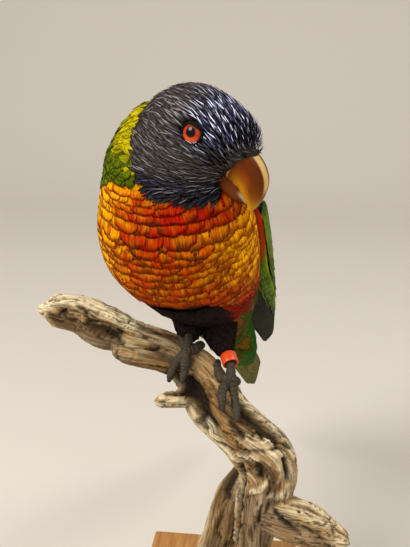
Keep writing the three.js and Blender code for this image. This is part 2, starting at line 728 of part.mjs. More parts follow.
let wood = union(woodLimbs.map((one) => limb(one.path, one.radii, woodSides, one.rings, one.relief)));
wood = wood.subtract(floorCut);
wood = wood.subtract(footSpace);

for (const [side, leg] of Object.entries(legs)) addNode(`foot_${side}`, foot(leg), 0x4a4742, 0.85);
addNode("leg_ring", ringOuter.subtract(ringHole), 0xd83a20, 0.4);
addNode("driftwood", wood, 0xb99a72, 0.9);

// Block with chamfered edges
const blockRing = (inset, z) => {
  const [x, y] = [block.width / 2 - inset, block.depth / 2 - inset];
  const c = block.chamfer;
  const corners = [[x - c, -y], [x, c - y], [x, y - c], [x - c, y], [c - x, y], [-x, y - c], [-x, c - y], [c - x, -y]];
  return corners.map(([px, py]) => vec([px, py, z]));
};
addNode(
  "base",
  loft(
    [
      blockRing(block.chamfer * 0.5, 0),
      blockRing(0, block.chamfer * 0.5),
      blockRing(0, block.height - block.chamfer),
      blockRing(block.chamfer, block.height),
    ],
    vec([0, 0, 0]),
    vec([0, 0, block.height]),
  ),
  0xb07a44,
);

export default nodes;
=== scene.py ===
import math

import bpy
import numpy as np
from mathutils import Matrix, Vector, noise
from mathutils.bvhtree import BVHTree


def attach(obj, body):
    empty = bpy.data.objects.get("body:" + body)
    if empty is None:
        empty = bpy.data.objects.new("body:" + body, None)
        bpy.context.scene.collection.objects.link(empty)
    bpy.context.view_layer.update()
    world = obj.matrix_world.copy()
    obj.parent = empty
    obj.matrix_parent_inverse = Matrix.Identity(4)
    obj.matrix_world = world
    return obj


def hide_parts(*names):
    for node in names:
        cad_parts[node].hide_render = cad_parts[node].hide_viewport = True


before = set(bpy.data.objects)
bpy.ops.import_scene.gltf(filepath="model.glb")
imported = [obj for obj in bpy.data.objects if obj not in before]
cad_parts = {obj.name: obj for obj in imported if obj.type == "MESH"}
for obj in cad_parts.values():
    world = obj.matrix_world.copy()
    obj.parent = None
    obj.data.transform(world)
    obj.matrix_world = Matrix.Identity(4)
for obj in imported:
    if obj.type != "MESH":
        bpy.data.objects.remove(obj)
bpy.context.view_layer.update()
print("frame loaded:", len(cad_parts), "nodes")

# Shapes below are worked out in millimetres, as in the part, and become metres in newPiece
mm = 0.001
rng = np.random.default_rng(7)
# Where the photo was taken from and which way it looks; the focal length is in pixels of its frame
view = {"at": [29.63, -277.87, 274.32], "gaze": [-0.1145, 0.933, -0.342], "focal": 800, "frameHeight": 547}


# Small maths helpers that take arrays

# Smooth curve through evenly spaced values, at shares u of its way
def along(values, u):
    values = np.asarray(values, float)
    last = len(values) - 1
    at = np.clip(np.asarray(u, float), 0, 1) * last
    i = np.minimum(at.astype(int), last - 1)
    f = at - i
    a, b, c, d = (values[np.clip(i + k, 0, last)] for k in (-1, 0, 1, 2))
    if values.ndim > 1:
        f = f[..., None]
    return b + 0.5 * f * (c - a + f * (2 * a - 5 * b + 4 * c - d + f * (3 * (b - c) + d - a)))


def unit(v):
    return v / np.maximum(np.linalg.norm(v, axis=-1, keepdims=True), 1e-9)


def smooth(low, high, x):
    t = np.clip((np.asarray(x, float) - low) / (high - low), 0, 1)
    return t * t * (3 - 2 * t)


def mix(a, b, f):
    f = np.asarray(f, float)[..., None]
    return np.asarray(a, float) * (1 - f) + np.asarray(b, float) * f


def between(pair, f):
    return pair[0] + (pair[1] - pair[0]) * f


def srgb(red, green, blue):
    c = np.array([red, green, blue], float) / 255
    return np.where(c <= 0.04045, c / 12.92, ((c + 0.055) / 1.055) ** 2.4)


def noiseAt(points, scale, octaves=3):
    flat = np.asarray(points, float).reshape(-1, 3) * scale
    made = [noise.fractal(Vector(p), 1.0, 2.0, octaves) for p in flat]
    return np.array(made).reshape(np.asarray(points).shape[:-1])


# Meshes

# The materials read the values: names that end in Way are directions or places, others three wide are colours
def newPiece(name, points, faces, material, slot=None, replaces=(), values=None, bake=None):
    name = name.replace(" ", "_")
    mesh = bpy.data.meshes.new(name)
    points = np.asarray(points, float).reshape(-1, 3) * mm
    mesh.vertices.add(len(points))
    mesh.vertices.foreach_set("co", points.astype(np.float32).ravel())
    if isinstance(faces, np.ndarray):
        sizes = np.full(len(faces), faces.shape[1])
        corners = faces.ravel()
    else:
        sizes = np.array([len(f) for f in faces])
        corners = np.concatenate([np.asarray(f) for f in faces])
    mesh.loops.add(len(corners))
    mesh.loops.foreach_set("vertex_index", corners.astype(np.int32))
    mesh.polygons.add(len(sizes))
    mesh.polygons.foreach_set("loop_start", (np.cumsum(sizes) - sizes).astype(np.int32))
    mesh.update(calc_edges=True)
    mesh.validate()
    mesh.shade_smooth()
    for key, data in (values or {}).items():
        addValues(mesh, key, np.asarray(data, float).reshape(len(points), -1))
    if bake is not None:
        layer = mesh.uv_layers.new(name="OFBake")
        layer.data.foreach_set("uv", np.asarray(bake, np.float32).reshape(-1, 2)[corners].ravel())
    if material:
        mesh.materials.append(material)
    piece = bpy.data.objects.new(name, mesh)
    bpy.context.scene.collection.objects.link(piece)
    if slot:
        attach(piece, "root")
    if replaces:
        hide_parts(*replaces)
    return piece


def addValues(mesh, key, data):
    if data.shape[1] == 1:
        layer = mesh.attributes.new(key, "FLOAT", "POINT")
        layer.data.foreach_set("value", data.astype(np.float32).ravel())
    elif key.endswith("Way"):
        layer = mesh.attributes.new(key, "FLOAT_VECTOR", "POINT")
        layer.data.foreach_set("vector", data.astype(np.float32).ravel())
    else:
        layer = mesh.attributes.new(key, "FLOAT_COLOR", "POINT")
        whole = np.ones((len(data), 4), np.float32)
        whole[:, :3] = data
        layer.data.foreach_set("color", whole.ravel())


# Faces between rings of points
def gridFaces(rows, columns):
    r, c = np.meshgrid(np.arange(rows - 1), np.arange(columns), indexing="ij")
    a = r * columns + c
    b = r * columns + (c + 1) % columns
    return np.stack([a, b, b + columns, a + columns], axis=-1).reshape(-1, 4)


# The same with the last ring joined to the first
def bandFaces(rows, columns):
    k = np.arange(columns)
    following = (k + 1) % columns
    last = (rows - 1) * columns
    seam = np.stack([last + k, last + following, following, k], axis=-1)
    return np.concatenate([gridFaces(rows, columns), seam])


# The same with a point that closes each end
def loftFaces(rows, columns):
    faces = [tuple(f) for f in gridFaces(rows, columns)]
    start = rows * columns
    last = (rows - 1) * columns
    for k in range(columns):
        nextOne = (k + 1) % columns
        faces.append((start, nextOne, k))
        faces.append((start + 1, last + k, last + nextOne))
    return faces


def loft(rings):
    rings = np.asarray(rings, float)
    poles = [rings[0].mean(axis=0), rings[-1].mean(axis=0)]
    return np.concatenate([rings.reshape(-1, 3), poles]), loftFaces(rings.shape[0], rings.shape[1])


def joined(shapes):
    points, faces, offset = [], [], 0
    for somePoints, someFaces in shapes:
        points.append(np.asarray(somePoints, float).reshape(-1, 3))
        faces.extend(tuple(int(i) + offset for i in f) for f in someFaces)
        offset += len(points[-1])
    return np.concatenate(points), faces


def meshArrays(mesh):
    points = np.zeros(len(mesh.vertices) * 3, np.float32)
    mesh.vertices.foreach_get("co", points)
    sizes = np.zeros(len(mesh.polygons), np.int32)
    mesh.polygons.foreach_get("loop_total", sizes)
    corners = np.zeros(len(mesh.loops), np.int32)
    mesh.loops.foreach_get("vertex_index", corners)
    return points.reshape(-1, 3) / mm, np.split(corners, np.cumsum(sizes)[:-1])


# Fuse overlapping closed shapes into one smooth surface
def fused(shapes, voxel, rounds=6):
    points, faces = joined(shapes)
    helper = newPiece("helper", points, faces, None)
    remesh = helper.modifiers.new("fuse", "REMESH")
    remesh.mode = "VOXEL"
    remesh.voxel_size = voxel * mm
    relax = helper.modifiers.new("relax", "SMOOTH")
    relax.factor = 0.5
    relax.iterations = rounds
    whole = helper.evaluated_get(bpy.context.evaluated_depsgraph_get())
    result = meshArrays(whole.to_mesh())
    whole.to_mesh_clear()
    before = helper.data
    bpy.data.objects.remove(helper)
    bpy.data.meshes.remove(before)
    return result


def vertexNormals(points, faces):
    mesh = bpy.data.meshes.new("normals")
    mesh.from_pydata(points.tolist(), [], [tuple(int(i) for i in f) for f in faces])
    mesh.update()
    normals = np.zeros(len(points) * 3, np.float32)
    mesh.vertices.foreach_get("normal", normals)
    bpy.data.meshes.remove(mesh)
    return normals.reshape(-1, 3).astype(float)


# Directions square to a path that turn as little as they can along it
def squareTo(tangents):
    normals = np.zeros_like(tangents)
    normal = unit(np.cross([0.31, 0.17, 0.93], tangents[0]))
    for r, tangent in enumerate(tangents):
        normal = unit(normal - tangent * np.dot(normal, tangent))
        normals[r] = normal
    return normals


# Round limb along a path; radii are given along it, relief(angle, u) scales the radius
def limb(path, radii, sides, rings, relief=None, swell=0):
    path = np.asarray(path, float)
    u = np.linspace(0, 1, rings + 1)
    spine = along(path, u)
    tangents = unit(along(path, np.minimum(u + 0.01, 1)) - along(path, np.maximum(u - 0.01, 0)))
    normals = squareTo(tangents)
    across = np.cross(tangents, normals)
    angle = np.arange(sides) * 2 * np.pi / sides
    aa, uu = np.meshgrid(angle, u)
    reach = (along(radii, u) + swell)[:, None] * (relief(aa, uu) if relief else 1)
    ring = spine[:, None] + normals[:, None] * (np.cos(aa) * reach)[..., None]
    return ring + across[:, None] * (np.sin(aa) * reach)[..., None]


# The same limb with a round cap on each end
def roundedLimb(path, radii, sides, rings, relief=None, swell=0):
    made = limb(path, radii, sides, rings, relief, swell)
    first, last = made[0].mean(axis=0), made[-1].mean(axis=0)
    wayIn = unit(made[1].mean(axis=0) - first)
    wayOut = unit(last - made[-2].mean(axis=0))
    caps = []
    for centre, ring, way in ((first, made[0], -wayIn), (last, made[-1], wayOut)):
        high = 0.8 * np.linalg.norm(ring - centre, axis=1).mean()
        caps.append(np.array([centre + way * high * math.sin(t) + (ring - centre) * math.cos(t)
                              for t in (0.5, 1.0, 1.35)]))
    return loft(np.concatenate([caps[0][::-1], made, caps[1]]))


# Body shape, with the part's own sizes

trunkShape = {
    # centre, turn, pitch, half width, back, belly, taper; from the nape to the tail's root
    "stations": [
        ([-15.5, 10.5, 231], 18, 84, 16.5, 14, 12, 0),
        ([-18.5, 11, 223], 18, 80, 20.8, 17, 18, 0),
        ([-19.5, 9.5, 215], 18, 76, 24, 20, 21, 0),
        ([-19, 8, 208], 18, 68, 26, 23, 22, 0),
        ([-18.3, 7.5, 201], 18, 62, 29, 24, 23, 0.02),
        ([-17.6, 9.5, 190], 18, 60, 32, 25, 25.5, 0.04),
        ([-16.2, 15, 177], 17, 57, 32, 25.5, 26, 0.06),
        ([-11, 25, 161], 15, 54, 26.2, 25.5, 21, 0.1),
        ([-6.4, 37.5, 145], 12, 51, 19, 25, 12.6, 0.22),
        ([-5.4, 52, 129], 9, 47, 13.4, 23, 8.6, 0.36),
        ([-1.5, 66, 117], 6, 43, 10.8, 17, 8, 0.4),
        ([2, 78, 107], 4, 41, 9.5, 10, 6.5, 0.1),
        ([3.2, 91, 95.5], 3, 40, 7.5, 5, 4.2, 0),
        ([3.8, 102, 86.5], 2, 40, 5, 2.5, 2.4, 0),
    ],
    "coatDepth": 2.2,
}
headShape = {
    "centre": [-8.4, 6.5, 221.8],
    "yaw": 61.5,
    "pitch": -8,
    "front": 23,
    "back": 23,
    "side": 17.5,
    "up": 18.2,
    "down": 22,
    "coatDepth": 2.0,
    # direction, height, spread
    "forms": [
        ([1, 0, 0.3], 3.6, 0.07),
        ([-0.2, 0, 1], 0.8, 0.2),
        ([0.2, 0.9, -0.55], 1.6, 0.12),
        ([0.2, -0.9, -0.55], 1.6, 0.12),
        ([0.45, 0.85, 0.3], -1.2, 0.05),
        ([0.45, -0.85, 0.3], -1.2, 0.05),
        ([0.9, 0, -0.7], -2.4, 0.06),
    ],
}
wingShape = {
    # middle between the two wings at bend and tip, and how far that line rises in a bow
    "bendMid": [-11.1, 22.6, 192],
    "tipMid": [4.1, 120.2, 90.8],
    "bulge": 4,
    "turn": [18, 3],    # degrees, at bend and tip
    # from bend to tip: distance out from the middle, lean in degrees, reach to the lower and upper rim
    "outward": [26.5, 25.3, 22.9, 19.5, 15.5, 12.5, 10.5, 8],
    "lean": [14, 22, 31, 40, 48, 55, 60, 63],
    "below": [3, 13, 16, 16, 13.8, 10, 6.4, 2],
    "above": [3, 17, 21.5, 21, 18.5, 14.5, 10.5, 5.5],
    "curl": 34,         # radius of the curve across the wing
    # room kept clear under it: beyond its rims, soft zone outside and inside them, how deep it reaches,
    # how deep skin and coat lie there, and how far inside the lower and upper rim no feather is laid
    "room": {"beyond": 1.2, "outside": 1.5, "inside": 1, "deepest": -14, "skin": -3.4, "coat": -2.7,
             "bareBelow": 3.5, "bareAbove": 1},
}
tailShape = {
    "root": [2.4, 80, 106],
    "tip": [4.6, 149, 48.8],
    "sag": 2.5,
    "roof": 0.012,      # fall to both sides
    "tips": [92, 85, 77, 68, 59, 50],   # how far each pair of quills reaches from the root
    "width": 7.4,
}

trunkRows = [np.array(row, float) for row in zip(*trunkShape["stations"])]


# Angle 0 is the back, swell is the distance over the surface
def trunkPoint(u, angle, swell=0.0):
    centre, turn, pitch, side, back, belly, taper = (along(row, u) for row in trunkRows)
    turn, pitch = np.radians(turn), np.radians(pitch)
    left = np.stack([np.cos(turn), -np.sin(turn), 0 * turn], axis=-1)
    dorsal = np.stack([np.sin(pitch) * np.sin(turn), np.sin(pitch) * np.cos(turn), np.cos(pitch)], axis=-1)
    rise = np.cos(angle)
    depth = np.where(rise > 0, back, belly) + swell
    wide = (side + swell) * (1 + taper * rise)
    return centre + left * (np.sin(angle) * wide)[..., None] + dorsal * (rise * depth)[..., None]


yaw, pitch = math.radians(headShape["yaw"]), math.radians(headShape["pitch"])
headForward = np.array([math.sin(yaw) * math.cos(pitch), -math.cos(yaw) * math.cos(pitch), math.sin(pitch)])
headLeft = np.array([math.cos(yaw), math.sin(yaw), 0])
headUp = np.cross(headForward, headLeft)
headAxes = np.stack([headForward, headLeft, headUp])
headCentre = np.array(headShape["centre"], float)


def inHead(x, y, z):
    return headCentre + np.asarray(x)[..., None] * headForward + np.asarray(y)[..., None] * headLeft \
        + np.asarray(z)[..., None] * headUp


def headPlaces(points):
    return (np.asarray(points, float) - headCentre) @ headAxes.T


def headSkin(way, swell=0.0):
    way = unit(way)
    x = way[..., 0] / np.where(way[..., 0] > 0, headShape["front"], headShape["back"])
    y = way[..., 1] / headShape["side"]
    z = way[..., 2] / np.where(way[..., 2] > 0, headShape["up"], headShape["down"])
    reach = 1 / np.sqrt(x * x + y * y + z * z) + swell
    for direction, height, spread in headShape["forms"]:
        reach = reach + height * np.exp((way @ unit(np.array(direction, float)) - 1) / spread)
    out = way * reach[..., None]
    return inHead(out[..., 0], out[..., 1], out[..., 2])


wingSpan = np.array(wingShape["tipMid"], float) - np.array(wingShape["bendMid"], float)
wingAxis = unit(wingSpan)
wingLength = float(np.linalg.norm(wingSpan))


# Middle line, outward normal and upward way of a wing; side is 1 for the bird's left
def wingFrame(side, s):
    s = np.asarray(s, float)
    turn = np.radians(between(wingShape["turn"], s))
    left = np.stack([np.cos(turn), -np.sin(turn), 0 * turn], axis=-1)
    dorsal = unit(np.cross(left, wingAxis))
    out = left * side
    middle = np.array(wingShape["bendMid"]) + wingAxis * (s * wingLength)[..., None]
    middle = middle + dorsal * (wingShape["bulge"] * np.sin(np.pi * np.clip(s, 0, 1)))[..., None]
    middle = middle + out * along(wingShape["outward"], s)[..., None]
    lean = np.radians(along(wingShape["lean"], s))[..., None]
    normal = out * np.cos(lean) + dorsal * np.sin(lean)
    across = dorsal * np.cos(lean) - out * np.sin(lean)
    return middle, normal, across


def wingPoint(side, s, w, lift):
    middle, normal, across = wingFrame(side, s)
    curl = wingShape["curl"]
    bend = np.asarray(w, float) / curl
    reach = curl + np.asarray(lift, float)
    aside, rise = np.sin(bend) * reach, np.cos(bend) * reach - curl
    return middle + across * aside[..., None] + normal * rise[..., None]


# A point's place on the wing: share along it, distance across it, height over it
def wingPlaces(side, points):
    points = np.asarray(points, float)
    s = (points - np.array(wingShape["bendMid"])) @ wingAxis / wingLength
    for _ in range(3):
        middle, normal, across = wingFrame(side, s)
        s = s + ((points - middle) @ wingAxis) / wingLength
    middle, normal, across = wingFrame(side, s)
    offset = points - middle
    curl = wingShape["curl"]
    x = (offset * across).sum(-1)
    z = (offset * normal).sum(-1) + curl
    return s, np.arctan2(x, z) * curl, np.hypot(x, z) - curl


# Push points that lie in a wing's room down under it
def clearOfWings(points, depth):
    points = np.array(points, float)
    room = wingShape["room"]
    for side in (1, -1):
        s, w, lift = wingPlaces(side, points)
        below = along(wingShape["below"], s) + room["beyond"]
        above = along(wingShape["above"], s) + room["beyond"]
        inside = smooth(-0.03, 0.01, s) * smooth(1.0, 0.97, s)
        inside = inside * smooth(-below - room["outside"], -below + room["inside"], w)
        inside = inside * smooth(above + room["outside"], above - room["inside"], w)
        inside = np.where(lift < room["deepest"], 0, inside)
        lowered = np.minimum(lift, lift + (depth - lift) * inside)
        moved = wingPoint(side, s, w, lowered)
        points = np.where((lowered < lift - 1e-6)[..., None], moved, points)
    return points


# A point on the tail: distance along it, across it and over it
def tailPoint(s, w, lift):
    root, tip = np.array(tailShape["root"], float), np.array(tailShape["tip"], float)
    way = unit(tip - root)
    left = unit(np.array([way[1], -way[0], 0]))
    up = np.cross(left, way)
    s, w, lift = np.broadcast_arrays(*(np.asarray(v, float) for v in (s, w, lift)))
    f = np.clip(s / np.linalg.norm(tip - root), 0, 1)
    rise = lift - tailShape["roof"] * w * w + tailShape["sag"] * np.sin(np.pi * f)
    return root + way * s[..., None] + left * w[..., None] + up * rise[..., None]


# Material helpers

def newMaterial(name):
    material = bpy.data.materials.new(name)
    material.use_nodes = True
    return material, material.node_tree, material.node_tree.nodes["Principled BSDF"]


def addNode(tree, kind, **settings):
    node = tree.nodes.new(kind)
    for key, value in settings.items():
        setattr(node, key, value)
    return node


def sockets(node, **values):
    for key, value in values.items():
        wanted = key.replace("_", " ").lower()
        for socket in node.inputs:
            if socket.name.lower() == wanted:
                socket.default_value = value
    return node


def readValues(tree, key, output="Color"):
    return addNode(tree, "ShaderNodeAttribute", attribute_name=key, attribute_type="GEOMETRY").outputs[output]


# Give sockets of a node a link, a colour or a number
def feed(tree, node, places, given):
    for place, value in zip(places, given):
        if isinstance(value, bpy.types.NodeSocket):
            tree.links.new(value, node.inputs[place])
        elif isinstance(value, (tuple, list, np.ndarray)):
            node.inputs[place].default_value = (*map(float, value), 1)
        else:
            node.inputs[place].default_value = value


def calc(tree, operation, *inputs):
    node = addNode(tree, "ShaderNodeMath", operation=operation)
    feed(tree, node, range(len(inputs)), inputs)
    return node.outputs[0]


def blendColour(tree, factor, a, b, kind="MIX"):
    node = addNode(tree, "ShaderNodeMix", data_type="RGBA", blend_type=kind)
    feed(tree, node, (0, 6, 7), (factor, a, b))
    return node.outputs[2]


def remap(tree, value, low, high, newLow=0.0, newHigh=1.0, kind="SMOOTHSTEP"):
    node = addNode(tree, "ShaderNodeMapRange", interpolation_type=kind)
    feed(tree, node, range(5), (value, low, high, newLow, newHigh))
    return node.outputs[0]


def newGroup(name, inputs, outputs):
    group = bpy.data.node_groups.new(name, "ShaderNodeTree")
    for label, kind, default in inputs:
        socket = group.interface.new_socket(label, in_out="INPUT", socket_type=kind)
        if default is not None:
            socket.default_value = default
    for label, kind in outputs:
        group.interface.new_socket(label, in_out="OUTPUT", socket_type=kind)
    start, end = addNode(group, "NodeGroupInput"), addNode(group, "NodeGroupOutput")
    return group, start, end


# Barbs of a feather: vaneWay holds across, along and a random number
# Barbs counts the lines along the feather, Fan the lines side by side
def makeBarbGroup():
    inputs = [
        ("Barbs", "NodeSocketFloat", 22.0),
        ("Fan", "NodeSocketFloat", 0.0),
        ("Slant", "NodeSocketFloat", 0.45),
        ("Strength", "NodeSocketFloat", 0.35),
        ("Shaft width", "NodeSocketFloat", 0.05),
    ]
    outputs = [("Shade", "NodeSocketFloat"), ("Shaft", "NodeSocketFloat"), ("Height", "NodeSocketFloat")]
    tree, start, end = newGroup("Feather barbs", inputs, outputs)
    split = addNode(tree, "ShaderNodeSeparateXYZ")
    tree.links.new(readValues(tree, "vaneWay", "Vector"), split.inputs[0])
    aside = calc(tree, "ABSOLUTE", split.outputs[0])
    slanted = calc(tree, "MULTIPLY", aside, start.outputs["Slant"])
    line = calc(tree, "SUBTRACT", split.outputs[1], slanted)
    spread = calc(tree, "MULTIPLY", line, start.outputs["Barbs"])
    seed = calc(tree, "MULTIPLY", split.outputs[2], 37.0)
    lineSpot = addNode(tree, "ShaderNodeCombineXYZ")
    tree.links.new(spread, lineSpot.inputs[0])
    fan = calc(tree, "ADD", start.outputs["Fan"], 1.3)
    tree.links.new(calc(tree, "MULTIPLY", split.outputs[0], fan), lineSpot.inputs[1])
    tree.links.new(seed, lineSpot.inputs[2])
    lines = sockets(addNode(tree, "ShaderNodeTexNoise"), Scale=1.0, Detail=2.0, Roughness=0.6)
    tree.links.new(lineSpot.outputs[0], lines.inputs["Vector"])
    sharp = remap(tree, lines.outputs[0], 0.3, 0.7)
    faded = calc(tree, "MULTIPLY", calc(tree, "SUBTRACT", sharp, 0.5), start.outputs["Strength"])
    tree.links.new(calc(tree, "ADD", faded, 1.0), end.inputs["Shade"])
    near = calc(tree, "DIVIDE", aside, start.outputs["Shaft width"])
    tree.links.new(remap(tree, near, 1.0, 0.4), end.inputs["Shaft"])
    tree.links.new(sharp, end.inputs["Height"])
    return tree


barbGroup = makeBarbGroup()


# Uneven spots or grain: Low and High are where the mask begins and is full, Most is its highest value
def makeMottleGroup():
    inputs = [
        ("Place", "NodeSocketVector", None),
        ("Scale", "NodeSocketFloat", 600.0),
        ("Detail", "NodeSocketFloat", 3.0),
        ("Roughness", "NodeSocketFloat", 0.5),
        ("Low", "NodeSocketFloat", 0.3),
        ("High", "NodeSocketFloat", 0.7),
        ("Most", "NodeSocketFloat", 1.0),
    ]
    outputs = [("Mask", "NodeSocketFloat"), ("Height", "NodeSocketFloat")]
    tree, start, end = newGroup("Mottle", inputs, outputs)
    spots = addNode(tree, "ShaderNodeTexNoise")
    tree.links.new(start.outputs["Place"], spots.inputs["Vector"])
    for key in ("Scale", "Detail", "Roughness"):
        tree.links.new(start.outputs[key], spots.inputs[key])
    mask = remap(tree, spots.outputs[0], start.outputs["Low"], start.outputs["High"], 0.0,
                 start.outputs["Most"])
    tree.links.new(mask, end.inputs["Mask"])
    tree.links.new(spots.outputs[0], end.inputs["Height"])
    return tree


mottleGroup = makeMottleGroup()


# Mottling at the given places, else over the piece's own box, or in its metres scaled by stretch
def mottle(tree, place=None, stretch=None, **settings):
    node = sockets(addNode(tree, "ShaderNodeGroup", node_tree=mottleGroup), **settings)
    if stretch:
        mapping = sockets(addNode(tree, "ShaderNodeMapping"), Scale=stretch)
        tree.links.new(addNode(tree, "ShaderNodeTexCoord").outputs["Object"], mapping.inputs["Vector"])
        place = mapping.outputs[0]
    tree.links.new(place or addNode(tree, "ShaderNodeTexCoord").outputs["Generated"], node.inputs["Place"])
    return node


def bumps(tree, height, shader, strength, distance):
    raised = sockets(addNode(tree, "ShaderNodeBump"), Strength=strength, Distance=distance)
    tree.links.new(height, raised.inputs["Height"])
    tree.links.new(raised.outputs[0], shader.inputs["Normal"])


# One look for all plumage: colours come with the feathers, the settings say how they catch light
def plumageLook(name, barbs, fan, strength, roughness, gloss, bump, shaft=0.0, shaftColour=(0, 0, 0)):
    material, tree, shader = newMaterial(name)
    effect = addNode(tree, "ShaderNodeGroup", node_tree=barbGroup)
    sockets(effect, Barbs=barbs, Fan=fan, Strength=strength)
    grey = addNode(tree, "ShaderNodeCombineColor")
    feed(tree, grey, range(3), [effect.outputs["Shade"]] * 3)
    result = blendColour(tree, 1, readValues(tree, "plumage"), grey.outputs[0], "MULTIPLY")
    if shaft:
        amount = calc(tree, "MULTIPLY", effect.outputs["Shaft"], shaft)
        result = blendColour(tree, amount, result, shaftColour)
    tree.links.new(result, shader.inputs["Base Color"])
    matt = remap(tree, effect.outputs["Height"], 0, 1, roughness + 0.08, roughness - 0.08, "LINEAR")
    tree.links.new(matt, shader.inputs["Roughness"])
    bumps(tree, effect.outputs["Height"], shader, bump, 0.0002)
    shader.inputs["Specular IOR Level"].default_value = gloss
    return material


bodyLook = plumageLook("body feathers", barbs=3, fan=8, strength=0.8, roughness=0.7, gloss=0.02, bump=0.25)
hoodLook = plumageLook("hood feathers", barbs=3, fan=2, strength=0.5, roughness=0.6, gloss=0.06, bump=0.15)
streakLook = plumageLook("hood streaks", barbs=5, fan=0, strength=0.4, roughness=0.45, gloss=0.15, bump=0.1)
quillLook = plumageLook("quill feathers", barbs=90, fan=0, strength=0.35, roughness=0.55, gloss=0.05, bump=0.25,
                        shaft=0.7, shaftColour=srgb(30, 26, 20))


# A finish whose colour, plain or read from the mesh, is broken up with another one
def mottledLook(name, base, other, spots, gloss, bump=None):
    material, tree, shader = newMaterial(name)
    if isinstance(base, str):
        base = readValues(tree, base)
    effect = mottle(tree, **spots)
    tree.links.new(blendColour(tree, effect.outputs["Mask"], base, other), shader.inputs["Base Color"])
    if bump:
        bumps(tree, effect.outputs["Height"], shader, *bump)
    sockets(shader, **gloss)
    return material


skinLook = mottledLook("skin under feathers", "plumage", (0.01, 0.008, 0.008), dict(Scale=900, Most=0.5),
                       dict(Roughness=0.8, Specular_IOR_Level=0.1))


# Plumage colours by place on the body, all in the photo's daylight tones

colours = {
    "hoodDark": srgb(22, 19, 20),
    "hoodBrown": srgb(56, 47, 38),
    # Pale streak colour: partly the streaks' own colour and partly a painted highlight of their shine
    "streakPale": srgb(206, 210, 236),
    "streakBlue": srgb(106, 108, 196),
    "streakBrown": srgb(132, 122, 116),
    "collar": srgb(166, 152, 3),
    "nape": srgb(74, 88, 6),
    "back": srgb(40, 84, 10),
    "red": srgb(152, 22, 2),
    "crimson": srgb(116, 16, 2),
    "orange": srgb(174, 69, 3),
    "orangeRed": srgb(145, 33, 3),
    "gold": srgb(190, 124, 4),
    "yellow": srgb(240, 172, 3),
    "scallop": srgb(52, 12, 4),
    "belly": srgb(34, 25, 24),
    "flankRed": srgb(130, 24, 4),
    "ventYellow": srgb(150, 118, 8),
    "ventGreen": srgb(56, 66, 8),
    "ventOrange": srgb(170, 76, 6),
    "wingGreen": srgb(46, 76, 10),
    "wingEdge": srgb(116, 122, 18),
    "wingRed": srgb(200, 44, 8),
    "wingUnder": srgb(56, 58, 40),
    "primary": srgb(20, 20, 18),
    "primaryEdge": srgb(100, 104, 60),
    "tailTop": srgb(46, 78, 12),
    "tailUnder": srgb(98, 90, 7),
}

# Borders of the plumage; a plane is a point on it and the way in which the zone lies
borders = {
    "hood": ([-18.2, -7.7, 212.3], [0.163, -0.837, 0.522]),
    # how far the hood goes past its plane, from the back of the head to the bill
    "alongHead": [-23, -19, -16, -11, -5, 5, 12, 15, 17, 20],
    "hoodOut": [6.5, 3.0, 2.1, 2.6, 2.8, 1.0, 0.4, 0.4, 0.9, 1.8],
    # width of the collar, by distance to the side
    "aside": [4, 12, 17, 21, 22.5, 24],
    "collar": [2.8, 3.2, 2.6, 2.2, 1.8, 0.4],
    "greenRight": ([-40.3, 0, 206.2], [0.354, 0.472, 0.807]),
    "greenLeft": ([13.0, 8.0, 198.0], [0.2, 0.8, 0.55]),
    "greenBack": ([-14, 38, 176.0], [0.1, 0.7, 0.7]),
    # soft borders, from outside the zone to inside it: height, depth or side in mm
    "bellyTop": (161.5, 159.5),
    "ventFront": (22, 26),
    "flankSide": (3, 6),
    "flankLow": (144, 147),
}


def past(p, border):
    at, way = borders[border]
    return (p - np.array(at)) @ unit(np.array(way))


# How much a place belongs to each zone; places are where a feather shows
def zones(p):
    h = headPlaces(p)
    mirrored = inHead(h[..., 0], -np.abs(h[..., 1]), h[..., 2])
    hoodEdge = past(mirrored, "hood") + np.interp(h[..., 0], borders["alongHead"], borders["hoodOut"])
    rightSide = past(p, "greenRight") - 0.9 * np.maximum(0, p[..., 0] + 22)
    green = np.maximum(np.maximum(rightSide, past(p, "greenLeft")), past(p, "greenBack"))
    collarWidth = np.interp(np.abs(h[..., 1]), borders["aside"], borders["collar"])
    wobble = 1.1 * np.sin(0.55 * p[..., 0] + 0.4 * p[..., 2]) * np.cos(0.5 * p[..., 1] - 0.3 * p[..., 2])
    zone = {}
    zone["hood"] = smooth(-0.4, 0.4, hoodEdge)
    rest = 1 - zone["hood"]
    isGreen = smooth(-0.8, 0.8, green + wobble * 0.5)
    zone["collar"] = rest * isGreen * smooth(1.0, -1.0, -hoodEdge - collarWidth + wobble)
    zone["green"] = rest * isGreen - zone["collar"]
    rest = rest * (1 - isGreen)
    low = smooth(*borders["bellyTop"], p[..., 2] + wobble * 0.8)
    vent = smooth(*borders["ventFront"], p[..., 1] + 0.25 * (p[..., 2] - 140))
    flank = low * (1 - vent) * smooth(*borders["flankSide"], p[..., 0] - 0.2 * (150 - p[..., 2]))
    flank = flank * smooth(*borders["flankLow"], p[..., 2])
    zone["vent"] = rest * low * vent
    zone["flank"] = rest * flank
    zone["belly"] = rest * low * (1 - vent) - zone["flank"]
    zone["breast"] = rest * (1 - low)
    return zone, h


# Share of a soft spot at the given places
def spot(p, centre, reach):
    return np.exp(-(((p - np.array(centre, float)) / reach) ** 2).sum(-1))


